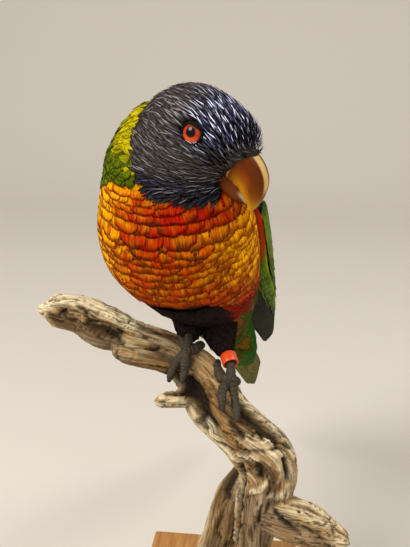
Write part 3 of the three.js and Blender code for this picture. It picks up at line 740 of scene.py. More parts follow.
# Breast: gold rows edged with orange red, red high in the middle, yellow at both sides
def breastColours(p, random, pick, patchy):
    x, z = p[..., 0], p[..., 2]
    red = 0.9 * spot(p, (-15, -13, 197), (15, 30, 9)) + 0.4 * spot(p, (-23, -12, 189), (9, 30, 9))
    red = np.clip(red + 0.8 * spot(p, (0, -10, 200), (9, 30, 4)) + 0.5 * patchy, 0, 1)
    glow = smooth(-33, -43, x) + smooth(5, 11, x) * smooth(166, 178, z) + spot(p, (6, -6, 188), (8, 30, 9))
    glow = np.clip(glow + 0.6 * spot(p, (-33, -6, 204), (6, 12, 5)), 0, 1) * (1 - 0.7 * red)
    low = smooth(171, 164, z)
    warm = smooth(0.35, 0.8, 0.5 * random + 0.25 + 0.9 * patchy + 0.2 * low)
    centre = mix(pick("gold"), pick("orange"), warm)
    centre = mix(mix(centre, pick("yellow"), glow), pick("red"), red)
    edge = mix(pick("orangeRed"), pick("orange"), glow)
    edge = mix(edge, pick("crimson"), np.clip(red + 0.35 * low, 0, 1))
    dark = np.clip(1.2 * spot(p, (-14, -13, 188), (15, 30, 10)) * (0.4 + 0.6 * random - 1.6 * patchy), 0, 1)
    tip = mix(edge * 0.8, pick("scallop"), dark)
    return centre, edge, tip


# Centre, edge and tip colours of the feathers that show at the given places, from all zones or only some
def plumage(p, random, only=None, patchy=0.0):
    zone, h = zones(p)
    if only:
        total = sum(zone[key] for key in only) + 1e-6
        zone = {key: zone[key] / total if key in only else 0 * total for key in zone}
        zone[only[0]] = zone[only[0]] + np.where(total < 1e-4, 1.0, 0.0)
    n = p.shape[:-1]
    pick = lambda key: np.broadcast_to(colours[key], (*n, 3))
    parts = {"breast": breastColours(p, random, pick, patchy)}
    parts["belly"] = (pick("belly"), pick("belly") * 1.15, pick("belly") * 0.7)
    flankEdge = mix(pick("flankRed"), pick("belly"), 0.4 * random)
    parts["flank"] = (pick("flankRed"), flankEdge, pick("flankRed") * 0.7)
    ventCentre = mix(pick("ventYellow") * 0.5, pick("ventGreen"), smooth(0.3, 0.6, random))
    ventCentre = mix(ventCentre, pick("ventOrange") * 0.6, smooth(0.3, 0.1, random))
    parts["vent"] = (ventCentre, mix(ventCentre, pick("ventGreen"), 0.6), pick("ventYellow") * 0.7)
    collar = pick("collar")
    parts["collar"] = (collar * (0.85 + 0.3 * random[..., None]), collar, collar * 0.8)
    shade = (0.65 + 0.7 * random)[..., None]
    green = mix(pick("nape"), pick("back"), smooth(202, 190, p[..., 2])) * shade
    green = green * (1 - 0.75 * spot(p, (-25.5, -9.7, 207), (5, 12, 4)))[..., None]
    parts["green"] = (green, green * 1.25, green * 0.6)
    front = smooth(-2, 14, h[..., 0]) * smooth(-3, 6, h[..., 2])
    fuzz = smooth(19.5, 21, h[..., 0]) * smooth(4.5, 2.5, h[..., 2])
    throat = smooth(-6, -16, h[..., 2])
    lores = np.exp(-((h[..., 0] - 16) / 5) ** 2 - ((np.abs(h[..., 1]) - 9) / 8) ** 2 - (h[..., 2] / 3.5) ** 2)
    dark = 0.2 + front + throat + lores + 0.4 * (random - 0.5)
    hood = mix(pick("hoodBrown"), pick("hoodDark"), np.clip(dark, 0, 1))
    hood = mix(hood, srgb(78, 70, 60), fuzz * 0.8)
    parts["hood"] = (hood, hood * 0.8, hood * 0.7)
    made = [sum(zone[key][..., None] * parts[key][k] for key in parts) for k in range(3)]
    blue = np.clip(smooth(0.66, 0.54, random) * (0.2 + 0.7 * front + 0.6 * throat), 0, 1)
    streak = mix(pick("streakBrown"), pick("streakPale"), np.clip(0.1 + 1.1 * front + 0.3 * throat, 0, 1))
    # Streaks are painted brighter on the front of the crown as a painted highlight from light falling from
    # above, and dimmer on the throat, by the lores and in the fuzz by the bill
    streakToneAndPaintedLight = (1 - 0.55 * throat + 0.65 * front) * (1 - 0.7 * lores) * (1 - 0.6 * fuzz)
    streak = mix(streak, pick("streakBlue"), blue) * streakToneAndPaintedLight[..., None]
    return made[0], made[1], made[2], streak, zone


# Feathers

# Shape of one kind of feather in shares of its length and half width: points along and across, width at
# the root, place of the widest part, width at the tip, and how far its sides lag behind its middle
def vaneTemplate(rows, columns, rootWidth, widest, tipWidth, bulge):
    t = np.linspace(0, 1, rows)
    a = np.linspace(-1, 1, columns)
    tt, aa = np.meshgrid(t, a, indexing="ij")
    grow = rootWidth + (1 - rootWidth) * np.sin(0.5 * np.pi * np.clip(tt / widest, 0, 1))
    shrink = 1 - (1 - tipWidth) * np.clip((tt - widest) / (1 - widest), 0, 1) ** 1.7
    width = grow * shrink
    forward = tt - bulge * aa ** 2 * smooth(0, 0.5, tt)
    index = np.arange(rows * columns).reshape(rows, columns)
    inner = np.zeros((rows, columns), bool)
    inner[1:-1, 1:-1] = True
    under = index.copy()
    under[inner] = rows * columns + np.arange(inner.sum())
    top = np.stack([index[:-1, :-1], index[:-1, 1:], index[1:, 1:], index[1:, :-1]], -1).reshape(-1, 4)
    bottom = np.stack([under[:-1, :-1], under[1:, :-1], under[1:, 1:], under[:-1, 1:]], -1).reshape(-1, 4)
    return {
        "t": tt, "a": aa, "width": width, "forward": forward, "inner": inner,
        "faces": np.concatenate([top, bottom]), "count": rows * columns + int(inner.sum()),
    }


# Turns many laid-out vanes, shape (feathers, rows, columns, 3), into one closed mesh of thin blades
def bladeMesh(name, template, top, normals, thick, values, roots, material, slot, replaces=(), below=None):
    many = len(top)
    rows, columns = template["t"].shape
    inner = template["inner"]
    under = (top - normals * thick)[:, inner]
    points = np.concatenate([top.reshape(many, -1, 3), under], axis=1)
    whole = {}
    for key, data in values.items():
        data = np.broadcast_to(data, (many, rows, columns, data.shape[-1]))
        low = (below or {}).get(key, data)
        whole[key] = np.concatenate([data.reshape(many, rows * columns, -1), low[:, inner]], axis=1)
    patch = np.stack([(template["a"] + 1) / 2, template["t"]], axis=-1) * 0.003
    patch = np.concatenate([patch.reshape(-1, 2), patch[inner]])
    bake = roots[:, None] + patch[None]
    faces = template["faces"][None] + (np.arange(many) * template["count"])[:, None, None]
    facing = np.cross(top[:, 2, 2] - top[:, 2, 1], top[:, 3, 1] - top[:, 2, 1])
    if (facing * normals[:, 2, 2]).sum(-1).mean() < 0:
        faces = faces[..., ::-1]
    newPiece(name, points, faces.reshape(-1, 4), material, slot, replaces, whole, bake)


# Lay feathers over the skin from their raw places, each feather's points as (rows, columns, 3)
def layFeathers(name, kind, template, raw, random, roots, material, slot, wanted, tuck=True):
    near, normals = nearestSkin(raw)
    t, a = template["t"][None], template["a"][None]
    lift = kind["rootLift"] + (kind["tipLift"] - kind["rootLift"]) * t ** kind["rise"]
    lift = lift * (0.94 + 0.12 * random[:, None, None]) - kind["cup"] * a ** 2 * t
    lift = lift + kind["curlUp"] * smooth(0.8, 1.0, t) * (random[:, None, None] - 0.3)
    top = near + normals * lift[..., None]
    if tuck:
        top = clearOfWings(top, wingShape["room"]["coat"])
    show = np.broadcast_to(shownAt(top)[:, None, None], top.shape)
    spread = np.broadcast_to(random[:, None, None], top.shape[:-1])
    patchy = kind["patchy"] * noiseAt(top, 0.22, 2) if kind["patchy"] else 0.0
    centre, edge, tip, streak, zone = plumage(show, spread, wanted, patchy)
    rimFrom = kind["rimFrom"] + 0.35 * patchy
    rim = np.maximum(0.6 * np.abs(a) ** 4 * smooth(0.3, 0.7, t), smooth(0, 0.14, t - rimFrom))
    shade = mix(centre, edge, np.clip(rim, 0, 1) * kind["rim"])
    shade = mix(shade, tip, smooth(0.1, 1 - kind["rimFrom"], t - rimFrom) * kind["tip"])
    # Painted shade: each feather is darker towards its root, where the feathers over it shade it
    rootPaintedShade = smooth(0.7, 0.3, t) * 0.3 + 0 * spread
    shade = shade * (1 - rootPaintedShade)[..., None]
    if kind["streak"]:
        amount = smooth(kind["streakWidth"], kind["streakWidth"] * 0.35, np.abs(a))
        amount = amount * smooth(kind["streakFrom"], kind["streakFrom"] + 0.3, t) * smooth(1.0, 0.75, t)
        amount = amount * kind["streak"] * zone["hood"] * (0.14 + 0.86 * spread ** 1.8)
        shade = mix(shade, streak, np.clip(amount, 0, 1))
    vane = np.stack(np.broadcast_arrays(a, t, random[:, None, None]), axis=-1)
    values = {"plumage": shade, "vaneWay": vane}
    bladeMesh(name, template, top, normals, kind["thickness"], values, roots, material, slot)
    print(name + ":", len(random), "feathers")


# Rows of feathers around the trunk; each row is set half a feather round from the one before
def trunkFeathers(span, kind, shrink=None):
    u = span[0]
    found = []
    angle = np.linspace(0, 2 * np.pi, 65)
    while u < span[1]:
        ring = trunkPoint(np.full(65, u), angle)
        girth = np.append(0, np.cumsum(np.linalg.norm(np.diff(ring, axis=0), axis=1)))
        scale = shrink(u) if shrink else 1.0
        count = max(6, int(girth[-1] / (kind["spacing"] * scale)))
        where = (np.arange(count) + 0.5 * (len(found) % 2) + rng.normal(0, kind["jitter"], count)) / count
        around = np.interp(np.mod(where, 1) * girth[-1], girth, angle)
        nudge = rng.normal(0, kind["jitter"] * 0.5, count)
        found.append(np.stack([np.full(count, u), around, np.full(count, scale), nudge], axis=-1))
        bellyAndBack = np.array([math.pi, 0])
        ahead = trunkPoint(np.full(2, u + 0.01), bellyAndBack) - trunkPoint(np.full(2, u), bellyAndBack)
        u += 0.01 * kind["exposed"] * scale / max(np.linalg.norm(ahead, axis=1).mean(), 1e-6)
    u, around, scale, nudge = np.concatenate(found).T
    step = 1e-3
    speed = trunkPoint(u + step, around) - trunkPoint(u - step, around)
    turnSpeed = trunkPoint(u, around + step) - trunkPoint(u, around - step)
    speed, turnSpeed = (np.linalg.norm(change, axis=-1) / (2 * step) for change in (speed, turnSpeed))
    return [u + nudge * kind["exposed"] / speed, around, scale, speed, turnSpeed]


# Share of the length at each point, with the barb ends uneven at the tip
def fringed(template, kind, count):
    t = template["t"]
    uneven = rng.normal(0, kind["fringe"], (count, 1, t.shape[1]))
    return template["forward"][None] + uneven * smooth(0.6, 1.0, t)[None]


# Raw places of the trunk's feathers; the speeds are mm per step of u and of the angle
def trunkRaw(template, kind, u, around, scale, speed, turnSpeed):
    length = (kind["length"] * scale)[:, None, None]
    half = (0.5 * kind["width"] * scale)[:, None, None]
    skew = rng.normal(0, kind["skew"], len(u))[:, None, None]
    forward = fringed(template, kind, len(u)) * length
    aside = template["a"][None] * template["width"][None] * half + skew * forward
    return trunkPoint(u[:, None, None] + forward / speed[:, None, None],
                      around[:, None, None] + aside / turnSpeed[:, None, None], -trunkShape["coatDepth"])


# Skin: one surface under the whole coat

def ballShape(place, rows=40, columns=64):
    theta = np.linspace(0, np.pi, rows + 2)[1:-1]
    phi = np.arange(columns) * 2 * np.pi / columns
    tt, pp = np.meshgrid(theta, phi, indexing="ij")
    way = np.stack([np.sin(tt) * np.cos(pp), np.sin(tt) * np.sin(pp), np.cos(tt)], axis=-1)
    points = place(np.concatenate([way.reshape(-1, 3), [[0, 0, 1], [0, 0, -1]]]))
    return points, loftFaces(rows, columns)


def trunkSolid(swell):
    uu, aa = np.meshgrid(np.linspace(0, 1, 60), np.arange(72) * 2 * np.pi / 72, indexing="ij")
    return loft(trunkPoint(uu, aa, swell))


billShape = {
    # centre line in the head's frame: x, z, half width, half height
    "upper": [(15, -2.5, 7.2, 6.0), (21.3, -4.8, 6.9, 6.5), (25.4, -8.6, 5.9, 6.0), (26.8, -12.8, 4.2, 4.5),
              (27, -16.6, 2.3, 2.5), (26.7, -19.8, 0.5, 0.5)],
    "lower": [(13, -9.5, 6.2, 4.4), (18, -12.2, 5.9, 4.3), (22, -15.2, 4.5, 3.0), (24.6, -17.8, 1.2, 0.7)],
    "cere": [(14.2, -2.3, 8.1, 6.9), (20, -4.1, 7.6, 7.2), (21.5, -5.7, 6.2, 6.5)],
}


# Rings of the bill; below 1, square makes them fuller
def billRings(stations, steps, sides, swell=0.0, square=1.0):
    rows = np.array(stations, float).T
    u = np.linspace(0, 1, steps + 1)
    x, z, wide, high = (along(row, u) for row in rows)
    dx = along(rows[0], np.minimum(u + 0.02, 1)) - along(rows[0], np.maximum(u - 0.02, 0))
    dz = along(rows[1], np.minimum(u + 0.02, 1)) - along(rows[1], np.maximum(u - 0.02, 0))
    size = np.hypot(dx, dz)
    dx, dz = dx / size, dz / size
    angle = np.arange(sides) * 2 * np.pi / sides
    c, s = np.cos(angle), np.sin(angle)
    x, z, dx, dz, wide, high = (row[:, None] for row in (x, z, dx, dz, wide + swell, high + swell))
    aside = np.sign(c) * np.abs(c) ** square * wide
    rise = np.sign(s) * np.abs(s) ** square * high
    return inHead(x - dz * rise, aside, z + dx * rise)


# Distance from the surface of the cere, where it stands clear of the feathers
def billDistance(points):
    h = headPlaces(points)
    rows = np.array(billShape["cere"], float)
    u = np.linspace(0, 1, 40)
    line = np.stack([along(rows[:, 0], u), 0 * u, along(rows[:, 1], u)], axis=-1)
    near = np.linalg.norm(h[:, None] - line[None], axis=-1).min(axis=1)
    return np.where(h[:, 0] > 17.5, near - 6.2, 99)


thighs = {
    "left": [[-3.4, 31, 142.5], [-1.2, 25, 137.2], [1, 19.8, 133]],
    "right": [[-14.8, 33, 146], [-14.2, 26.5, 141.6], [-13.6, 20.2, 138.6]],
    "radii": [8, 6.5, 3.8],
    "rows": 7,          # of feathers, how many in each and how long they are
    "inRow": 9,
    "feather": 8.5,
}
skinPoints, skinFaces = fused([
    ballShape(lambda way: headSkin(way, -headShape["coatDepth"])),
    trunkSolid(-trunkShape["coatDepth"]),
    loft(billRings(billShape["cere"], 12, 40)),
    *(roundedLimb(thighs[side], thighs["radii"], 32, 12, swell=-0.8) for side in ("left", "right")),
], 1.1)
skinPoints = clearOfWings(skinPoints, wingShape["room"]["skin"])
skinFaces = [tuple(int(i) for i in f) for f in skinFaces]
pointNormals = vertexNormals(skinPoints, skinFaces)
faceNormals = np.array([unit(pointNormals[list(f)].sum(axis=0)) for f in skinFaces])
skinTree = BVHTree.FromPolygons(skinPoints.tolist(), skinFaces)


# Nearest places on the skin, and which way it faces there
def nearestSkin(points):
    flat = np.asarray(points, float).reshape(-1, 3)
    near = np.empty_like(flat)
    which = np.empty(len(flat), int)
    for i, p in enumerate(flat):
        near[i], _, which[i], _ = skinTree.find_nearest(Vector(p))
    shape = np.asarray(points).shape
    return near.reshape(shape), faceNormals[which].reshape(shape)


skinTint = plumage(skinPoints, 0.5 + 0 * skinPoints[:, 0])[0] * 0.5
skinTint = mix(skinTint, srgb(48, 42, 36), smooth(2.6, 1.8, billDistance(skinPoints)))
newPiece("skin", skinPoints, skinFaces, skinLook, "breast_feathers",
         ("head", "neck", "torso", "thigh_left", "thigh_right"), {"plumage": skinTint})
print("skin:", len(skinPoints), "points")


# Coat of the trunk

plain = dict(rise=0.7, cup=0.3, curlUp=0.3, rimFrom=0.8, patchy=0, streak=0)
coat = {
    # mm: length, width, distance between rows (exposed) and feathers (spacing), lift of root and tip,
    # thickness; shares: where the edge's tint begins, strength of rim and tip, unevenness of place, turn and end
    "breast": dict(plain, length=14, width=17, exposed=3.2, spacing=8.6, rootLift=0.2, tipLift=1.8,
                   thickness=0.1, rise=0.4, cup=0.05, curlUp=0.05, rimFrom=0.81, rim=0.6, tip=0.65, patchy=1.0,
                   jitter=0.13, skew=0.05, fringe=0.018),
    "belly": dict(plain, length=11, width=6.4, exposed=3.0, spacing=3.6, rootLift=0.9, tipLift=1.9,
                  thickness=0.12, rim=0.7, tip=0.5, jitter=0.2, skew=0.12, fringe=0.05),
    "vent": dict(plain, length=13, width=7.4, exposed=4.2, spacing=4.6, rootLift=0.9, tipLift=2.0,
                 thickness=0.13, rim=0.8, tip=0.7, jitter=0.15, skew=0.1, fringe=0.04),
    "back": dict(plain, length=12, width=7.4, exposed=3.4, spacing=4.2, rootLift=1.1, tipLift=2.2,
                 thickness=0.13, rise=0.6, curlUp=0.2, rimFrom=0.78, rim=0.6, tip=0.6, jitter=0.13, skew=0.06,
                 fringe=0.03),
    "collar": dict(plain, length=7, width=3.2, spacing=1.5, rootLift=1.1, tipLift=2.2, thickness=0.11,
                   cup=0.2, rim=0.5, tip=0.4, skew=0.1, fringe=0.05),
    "hood": dict(plain, length=6.2, width=2.1, spacing=1.05, rootLift=0.9, tipLift=2.4, thickness=0.09,
                 rise=0.8, cup=0.2, curlUp=0.2, rim=0.4, tip=0.2, streak=0.25, streakWidth=0.3, streakFrom=0.3,
                 skew=0.09, fringe=0.0),
    "streaks": dict(plain, length=6.0, width=0.36, spacing=1.3, rootLift=1.6, tipLift=2.65, thickness=0.08,
                    cup=0.0, curlUp=0.2, rim=0, tip=0, streak=1.2, streakWidth=5, streakFrom=0.1, skew=0.12,
                    fringe=0.0, margin=4.0),
}
breastVane = vaneTemplate(8, 21, 0.5, 0.6, 0.9, 0.13)
broadVane = vaneTemplate(7, 11, 0.5, 0.6, 0.85, 0.18)
softVane = vaneTemplate(7, 9, 0.5, 0.55, 0.6, 0.2)
fineVane = vaneTemplate(5, 5, 0.5, 0.5, 0.3, 0.1)
streakVane = vaneTemplate(6, 3, 0.5, 0.4, 0.15, 0.0)


# Near enough to the skin to root there
def onSkin(points):
    near, _ = nearestSkin(points)
    return np.linalg.norm(points - near, axis=-1) < 1.3


# Places well inside a wing's rims, where no feather would show
def underWings(points):
    hidden = np.zeros(points.shape[:-1], bool)
    room = wingShape["room"]
    for side in (1, -1):
        s, w, lift = wingPlaces(side, points)
        below = along(wingShape["below"], s) - room["bareBelow"]
        above = along(wingShape["above"], s) - room["bareAbove"]
        hidden |= (s > 0.03) & (s < 0.97) & (w > -below) & (w < above) & (lift > room["deepest"])
    return hidden


# The part of each feather that its neighbours leave open
def shownAt(raw):
    return raw[:, int(0.72 * (raw.shape[1] - 1)), raw.shape[2] // 2]


def zoneIs(points, *names):
    zone, _ = zones(points)
    return sum(zone[name] for name in names) > 0.5


def trunkCoat(name, kind, template, span, wanted, material, slot, shrink=None):
    placed = trunkFeathers(span, kind, shrink)
    raw = trunkRaw(template, kind, *placed)
    roots = raw[:, 0, raw.shape[2] // 2]
    kept = onSkin(roots) & ~underWings(roots)
    near, normals = nearestSkin(shownAt(raw[kept]))
    kept[kept] = zoneIs(near + normals * trunkShape["coatDepth"], *wanted)
    random = rng.random(int(kept.sum()))
    corners = np.stack([placed[1][kept] / (2 * np.pi) * 0.9 + 0.03, 0.03 + 0.9 * placed[0][kept]], axis=-1)
    layFeathers(name, kind, template, raw[kept], random, corners, material, slot, wanted)


def trunkSmaller(u):
    return float(np.interp(u, [0.2, 0.34, 0.45], [0.62, 0.8, 1.0]))


trunkCoat("breast coat", coat["breast"], breastVane, (0.1, 0.66), ("breast",), bodyLook, "breast_feathers",
          trunkSmaller)
trunkCoat("belly coat", coat["belly"], softVane, (0.5, 0.8), ("belly", "flank"), bodyLook, "belly_feathers")
trunkCoat("vent coat", coat["vent"], softVane, (0.55, 0.99), ("vent",), bodyLook, "belly_feathers")
trunkCoat("back coat", coat["back"], broadVane, (0.1, 0.99), ("green",), bodyLook, "collar_feathers",
          trunkSmaller)


# Coat of the head and neck: spots an even distance apart on the skin, each feather pointing with the flow

headPole = unit(headForward - 0.3 * headUp)
trunkLine = along(trunkRows[0], np.linspace(0, 1, 120))
trunkWay = unit(np.gradient(trunkLine, axis=0))


# Flow of the feathers: away from the bill on the head, along the body below it
def flowAt(points, normals):
    out = points - headCentre
    away = unit(out)
    turn = np.arccos(np.clip(away @ headPole, -1, 1))
    onHead = unit(away * (away @ headPole)[:, None] - headPole)
    nearest = np.linalg.norm(points[:, None] - trunkLine[None], axis=-1).argmin(axis=1)
    share = np.maximum(smooth(21, 29, np.linalg.norm(out, axis=-1)), smooth(1.9, 2.7, turn))
    flow = unit(mix(onHead, trunkWay[nearest], share))
    return unit(flow - normals * (flow * normals).sum(-1)[:, None])


# Spots on the skin that keep the given distance from each other
def evenSpots(wantedArea, distance):
    order = rng.permutation(np.repeat(np.arange(len(skinFaces)), 4))
    spread = rng.dirichlet((1, 1, 1), len(order))
    corners = np.array([skinPoints[list(skinFaces[k][:3])] for k in order])
    spots = (corners * spread[:, :, None]).sum(axis=1)
    normals = faceNormals[order]
    taken = {}
    kept = []
    for k in np.flatnonzero(wantedArea(spots)):
        cell = tuple(np.floor(spots[k] / distance).astype(int))
        near = [q for i in (-1, 0, 1) for j in (-1, 0, 1) for l in (-1, 0, 1)
                for q in taken.get((cell[0] + i, cell[1] + j, cell[2] + l), ())]
        if all(math.dist(spots[k], q) > distance for q in near):
            taken.setdefault(cell, []).append(spots[k])
            kept.append(k)
    return spots[kept], normals[kept]


def evenCoat(name, kind, template, wanted, material, slot, area):
    roots, normals = evenSpots(lambda q: area(q) & ~underWings(q), kind["spacing"])
    flow = flowAt(roots, normals)
    skewed = rng.normal(0, kind["skew"], len(roots))[:, None]
    flow = unit(flow + np.cross(normals, flow) * skewed)
    aside = np.cross(normals, flow)
    size = sizeAt(roots)
    length = kind["length"] * size * rng.uniform(0.85, 1.15, len(roots))
    ahead, lifted = nearestSkin(roots + flow * (0.72 * length)[:, None])
    ahead = ahead + lifted * trunkShape["coatDepth"]
    kept = zoneIs(ahead, *wanted) & zoneIs(ahead + flow * kind.get("margin", 0), *wanted)
    length = length * np.where(zoneIs(ahead + 2.2 * flow, *wanted), 1, 0.75)
    roots, flow, aside, size, length = roots[kept], flow[kept], aside[kept], size[kept], length[kept]
    forward = fringed(template, kind, len(roots)) * length[:, None, None]
    half = 0.5 * kind["width"] * size
    raw = roots[:, None, None] + flow[:, None, None] * forward[..., None]
    raw = raw + aside[:, None, None] * (template["a"] * template["width"] * half[:, None, None])[..., None]
    h = headPlaces(roots)
    bake = np.stack([smooth(-40, 40, h[:, 1]), smooth(-50, 30, h[:, 0] + 0.4 * h[:, 2])], axis=-1) * 0.9 + 0.05
    random = rng.random(len(roots))
    layFeathers(name, kind, template, raw, random, bake, material, slot, wanted, tuck=False)


# Feathers grow longer from the bill to the back of the head
def sizeAt(points):
    return np.interp(headPlaces(points)[:, 0], [-12, 4, 16, 20, 22.5], [1.0, 0.95, 0.8, 0.55, 0.4])


nostril = {"at": [23.3, 4.2, 0.3], "size": [1.2, 0.8, 0.8]}
eyeShape = {
    "centre": [7.7, 12.4, 5.6],
    "radius": 4.2,
    "pupil": 25,        # degrees
    "lidRing": 3.75,
    "lidIn": 0.7,       # lid's width towards the eye and away from it
    "lidOutside": 0.5,
    "lidHigh": 0.75,
    "lidAt": 2.25,      # height of the lid over the eye's centre
    "brow": 2.75,       # where the upper lid cuts the ring, and its slant down to the bill
    "browSlant": 0.3,
    "bare": 3.7,        # no feather roots nearer than this
}
coatLimits = {
    "hood": 46,         # farthest from the head's centre, and the same for the neck
    "neck": 55,
    "neckLow": 186,
    "nostril": 1.5,
    "bill": (0.72, -0.69, 17.9),    # slant and place of the line where the feathers end behind the bill
    "chin": -9.5,
}


def eyeAt(side):
    x, y, z = eyeShape["centre"]
    return inHead(np.array(x), np.array(y * side), np.array(z))


# The hood's roots, bare round the eyes, the nostrils and the bill
def onHood(points):
    eyes = np.min([np.linalg.norm(points - eyeAt(side), axis=-1) for side in (1, -1)], axis=0)
    close = np.linalg.norm(points - headCentre, axis=-1) < coatLimits["hood"]
    x, y, z = headPlaces(points).T
    holes = np.linalg.norm(np.stack([x, np.abs(y), z], axis=-1) - np.array(nostril["at"]), axis=-1)
    forward, up, most = coatLimits["bill"]
    behindBill = (forward * x + up * z < most) | (z < coatLimits["chin"])
    return (eyes > eyeShape["bare"]) & (holes > coatLimits["nostril"]) & behindBill & close


def onNeck(points):
    close = np.linalg.norm(points - headCentre, axis=-1) < coatLimits["neck"]
    return (points[:, 2] > coatLimits["neckLow"]) & close


evenCoat("hood coat", coat["hood"], fineVane, ("hood",), hoodLook, "hood_feathers", onHood)
evenCoat("hood streaks", coat["streaks"], streakVane, ("hood",), streakLook, "hood_feathers", onHood)
evenCoat("neck coat", coat["collar"], softVane, ("collar", "green"), bodyLook, "collar_feathers", onNeck)


# Thigh coat

def thighCoat(side):
    path = np.array(thighs[side], float)
    sides, steps = 72, 60
    rings = limb(path, thighs["radii"], sides, steps, swell=-0.6)

    def surfaceAt(share, turn):
        r = np.clip(share, 0, 1) * steps
        i = np.minimum(r.astype(int), steps - 1)
        k = np.mod(turn / (2 * np.pi), 1) * sides
        j = k.astype(int) % sides
        f, g = (r - i)[..., None], (k - k.astype(int))[..., None]
        near = rings[i, j] * (1 - g) + rings[i, (j + 1) % sides] * g
        far = rings[i + 1, j] * (1 - g) + rings[i + 1, (j + 1) % sides] * g
        beyond = np.maximum(share - 1, 0)[..., None] * (path[-1] - path[1]) * 1.6
        return near * (1 - f) + far * f + beyond

    row, place = np.meshgrid(np.arange(thighs["rows"]), np.arange(thighs["inRow"]), indexing="ij")
    u = np.linspace(0.0, 0.85, thighs["rows"])[row.ravel()]
    angle = ((place + 0.5 * (row % 2)) / thighs["inRow"] * 2 * np.pi).ravel()
    u = u + rng.normal(0, 0.03, len(u))
    forward = softVane["forward"][None] * thighs["feather"] / np.linalg.norm(path[-1] - path[0])
    aside = softVane["a"][None] * softVane["width"][None] * 2.3 / 6
    raw = surfaceAt(u[:, None, None] + forward, angle[:, None, None] + aside)
    random = rng.random(len(u))
    roots = np.stack([0.03 + angle / (2 * np.pi) * 0.9, 0.9 + 0.06 * u], axis=-1)
    layFeathers("thigh coat " + side, coat["belly"], softVane, raw, random, roots, bodyLook, "belly_feathers",
                ("belly",), tuck=False)


thighCoat("left")
thighCoat("right")


# Wings and tail: long vanes laid on their own surfaces

vaneThickness = 0.22


def gridNormals(top):
    down = np.gradient(top, axis=1)
    across = np.gradient(top, axis=2)
    return unit(np.cross(across, down))


# One vane for each row, which says how far along and across its root and tip lie; place gives the points
def layVanes(name, template, rows, place, look, slot, replaces=()):
    tops, tints, unders, vanes = [], [], [], []
    t, a, forward = template["t"], template["a"], template["forward"]
    for row in rows:
        half = 0.5 * row["width"] * template["width"]
        s = row["start"] + (row["end"] - row["start"]) * forward
        middle = row["rootAcross"] + (row["tipAcross"] - row["rootAcross"]) * forward
        lift = row["rootLift"] + (row["lift"] - row["rootLift"]) * np.minimum(1, 3 * t)
        lift = lift + row["camber"] * (1 - a ** 2) - row["tilt"] * a * half
        tops.append(place(s, middle + a * half, lift))
        random = rng.random()
        tint, under = look(row, t, a, random)
        tints.append(tint)
        unders.append(under)
        vanes.append(np.stack(np.broadcast_arrays(a, t * row["length"], random), axis=-1))
    top = np.array(tops)
    normals = gridNormals(top)
    if (normals[:, 1:-1, 1:-1] * rows[-1]["outward"]).sum(-1).mean() < 0:
        normals = -normals
    values = {"plumage": np.array(tints), "vaneWay": np.array(vanes)}
    roots = np.array([row["root"] for row in rows])
    bladeMesh(name, template, top, normals, vaneThickness, values, roots, quillLook, slot, replaces,
              {"plumage": np.array(unders)})
    print(name + ":", len(tops), "vanes")


# Rows of a wing from the bottom layer up; the pairs are for its outermost and innermost feather
wingRows = [
    # kind, count, roots and tips along the wing, roots and tips across it, width, lift
    ("primary", 10, (0.34, 0.34), (1, 0.93), (0.1, 0.5), (0.16, 0.85), 7.8, 0.35),
    ("secondary", 10, (0.26, 0.24), (0.78, 0.72), (0.26, 0.8), (0.35, 0.9), 8, 0.9),
    ("covert", 6, (0.2, 0.2), (0.45, 0.4), (0.06, 0.2), (0.06, 0.22), 5, 0.9),
    ("tertial", 4, (0.18, 0.14), (0.66, 0.56), (0.74, 0.92), (0.76, 0.94), 9, 1.3),
    ("covert", 10, (0.16, 0.13), (0.39, 0.35), (0.1, 0.93), (0.1, 0.93), 7, 1.45),
    ("covert", 10, (0.1, 0.09), (0.285, 0.26), (0.1, 0.92), (0.1, 0.92), 6.6, 2.15),
    ("lesser", 9, (0.06, 0.05), (0.205, 0.19), (0.1, 0.92), (0.1, 0.92), 6, 2.6),
    ("lesser", 8, (0.025, 0.02), (0.15, 0.14), (0.1, 0.9), (0.1, 0.9), 5.6, 2.75),
    ("lesser", 7, (-0.01, -0.01), (0.1, 0.095), (0.12, 0.88), (0.12, 0.88), 5, 2.8),
    ("lesser", 5, (-0.035, -0.035), (0.055, 0.05), (0.2, 0.8), (0.2, 0.8), 4.6, 2.7),
]
liningRows = [("lining", 7, (0.52 - 0.065 * k,) * 2, (0.68 - 0.068 * k,) * 2, (0.02, 0.8), (0.02, 0.8), 6.2,
               -2.1 - 0.2 * k) for k in range(10)]
quillVane = vaneTemplate(14, 9, 0.5, 0.8, 0.4, 0.03)
covertVane = vaneTemplate(10, 9, 0.5, 0.7, 0.3, 0.1)


def wingAcross(s, share):
    return -along(wingShape["below"], s) * (1 - share) + along(wingShape["above"], s) * share


# Body of the wing under its feathers: a flat ring at each share along it
def wingCoreRings(side):
    share, f = np.linspace(0, 1, 30)[:, None], np.linspace(0, 1, 26)[None]
    s = 0.62 * share + 0 * f
    w = wingAcross(0.62 * share, f)
    outer = along([2.2, 2.0, 1.2, 0.0, -0.6, -0.8], share) * (0.3 + 0.7 * np.sin(np.pi * f))
    inner = along([-2.2, -2.6, -2.4, -2, -1.6, -1.2], share) + 0 * f
    return np.concatenate([wingPoint(side, s, w, outer), wingPoint(side, s, w, inner)[:, ::-1]], axis=1)
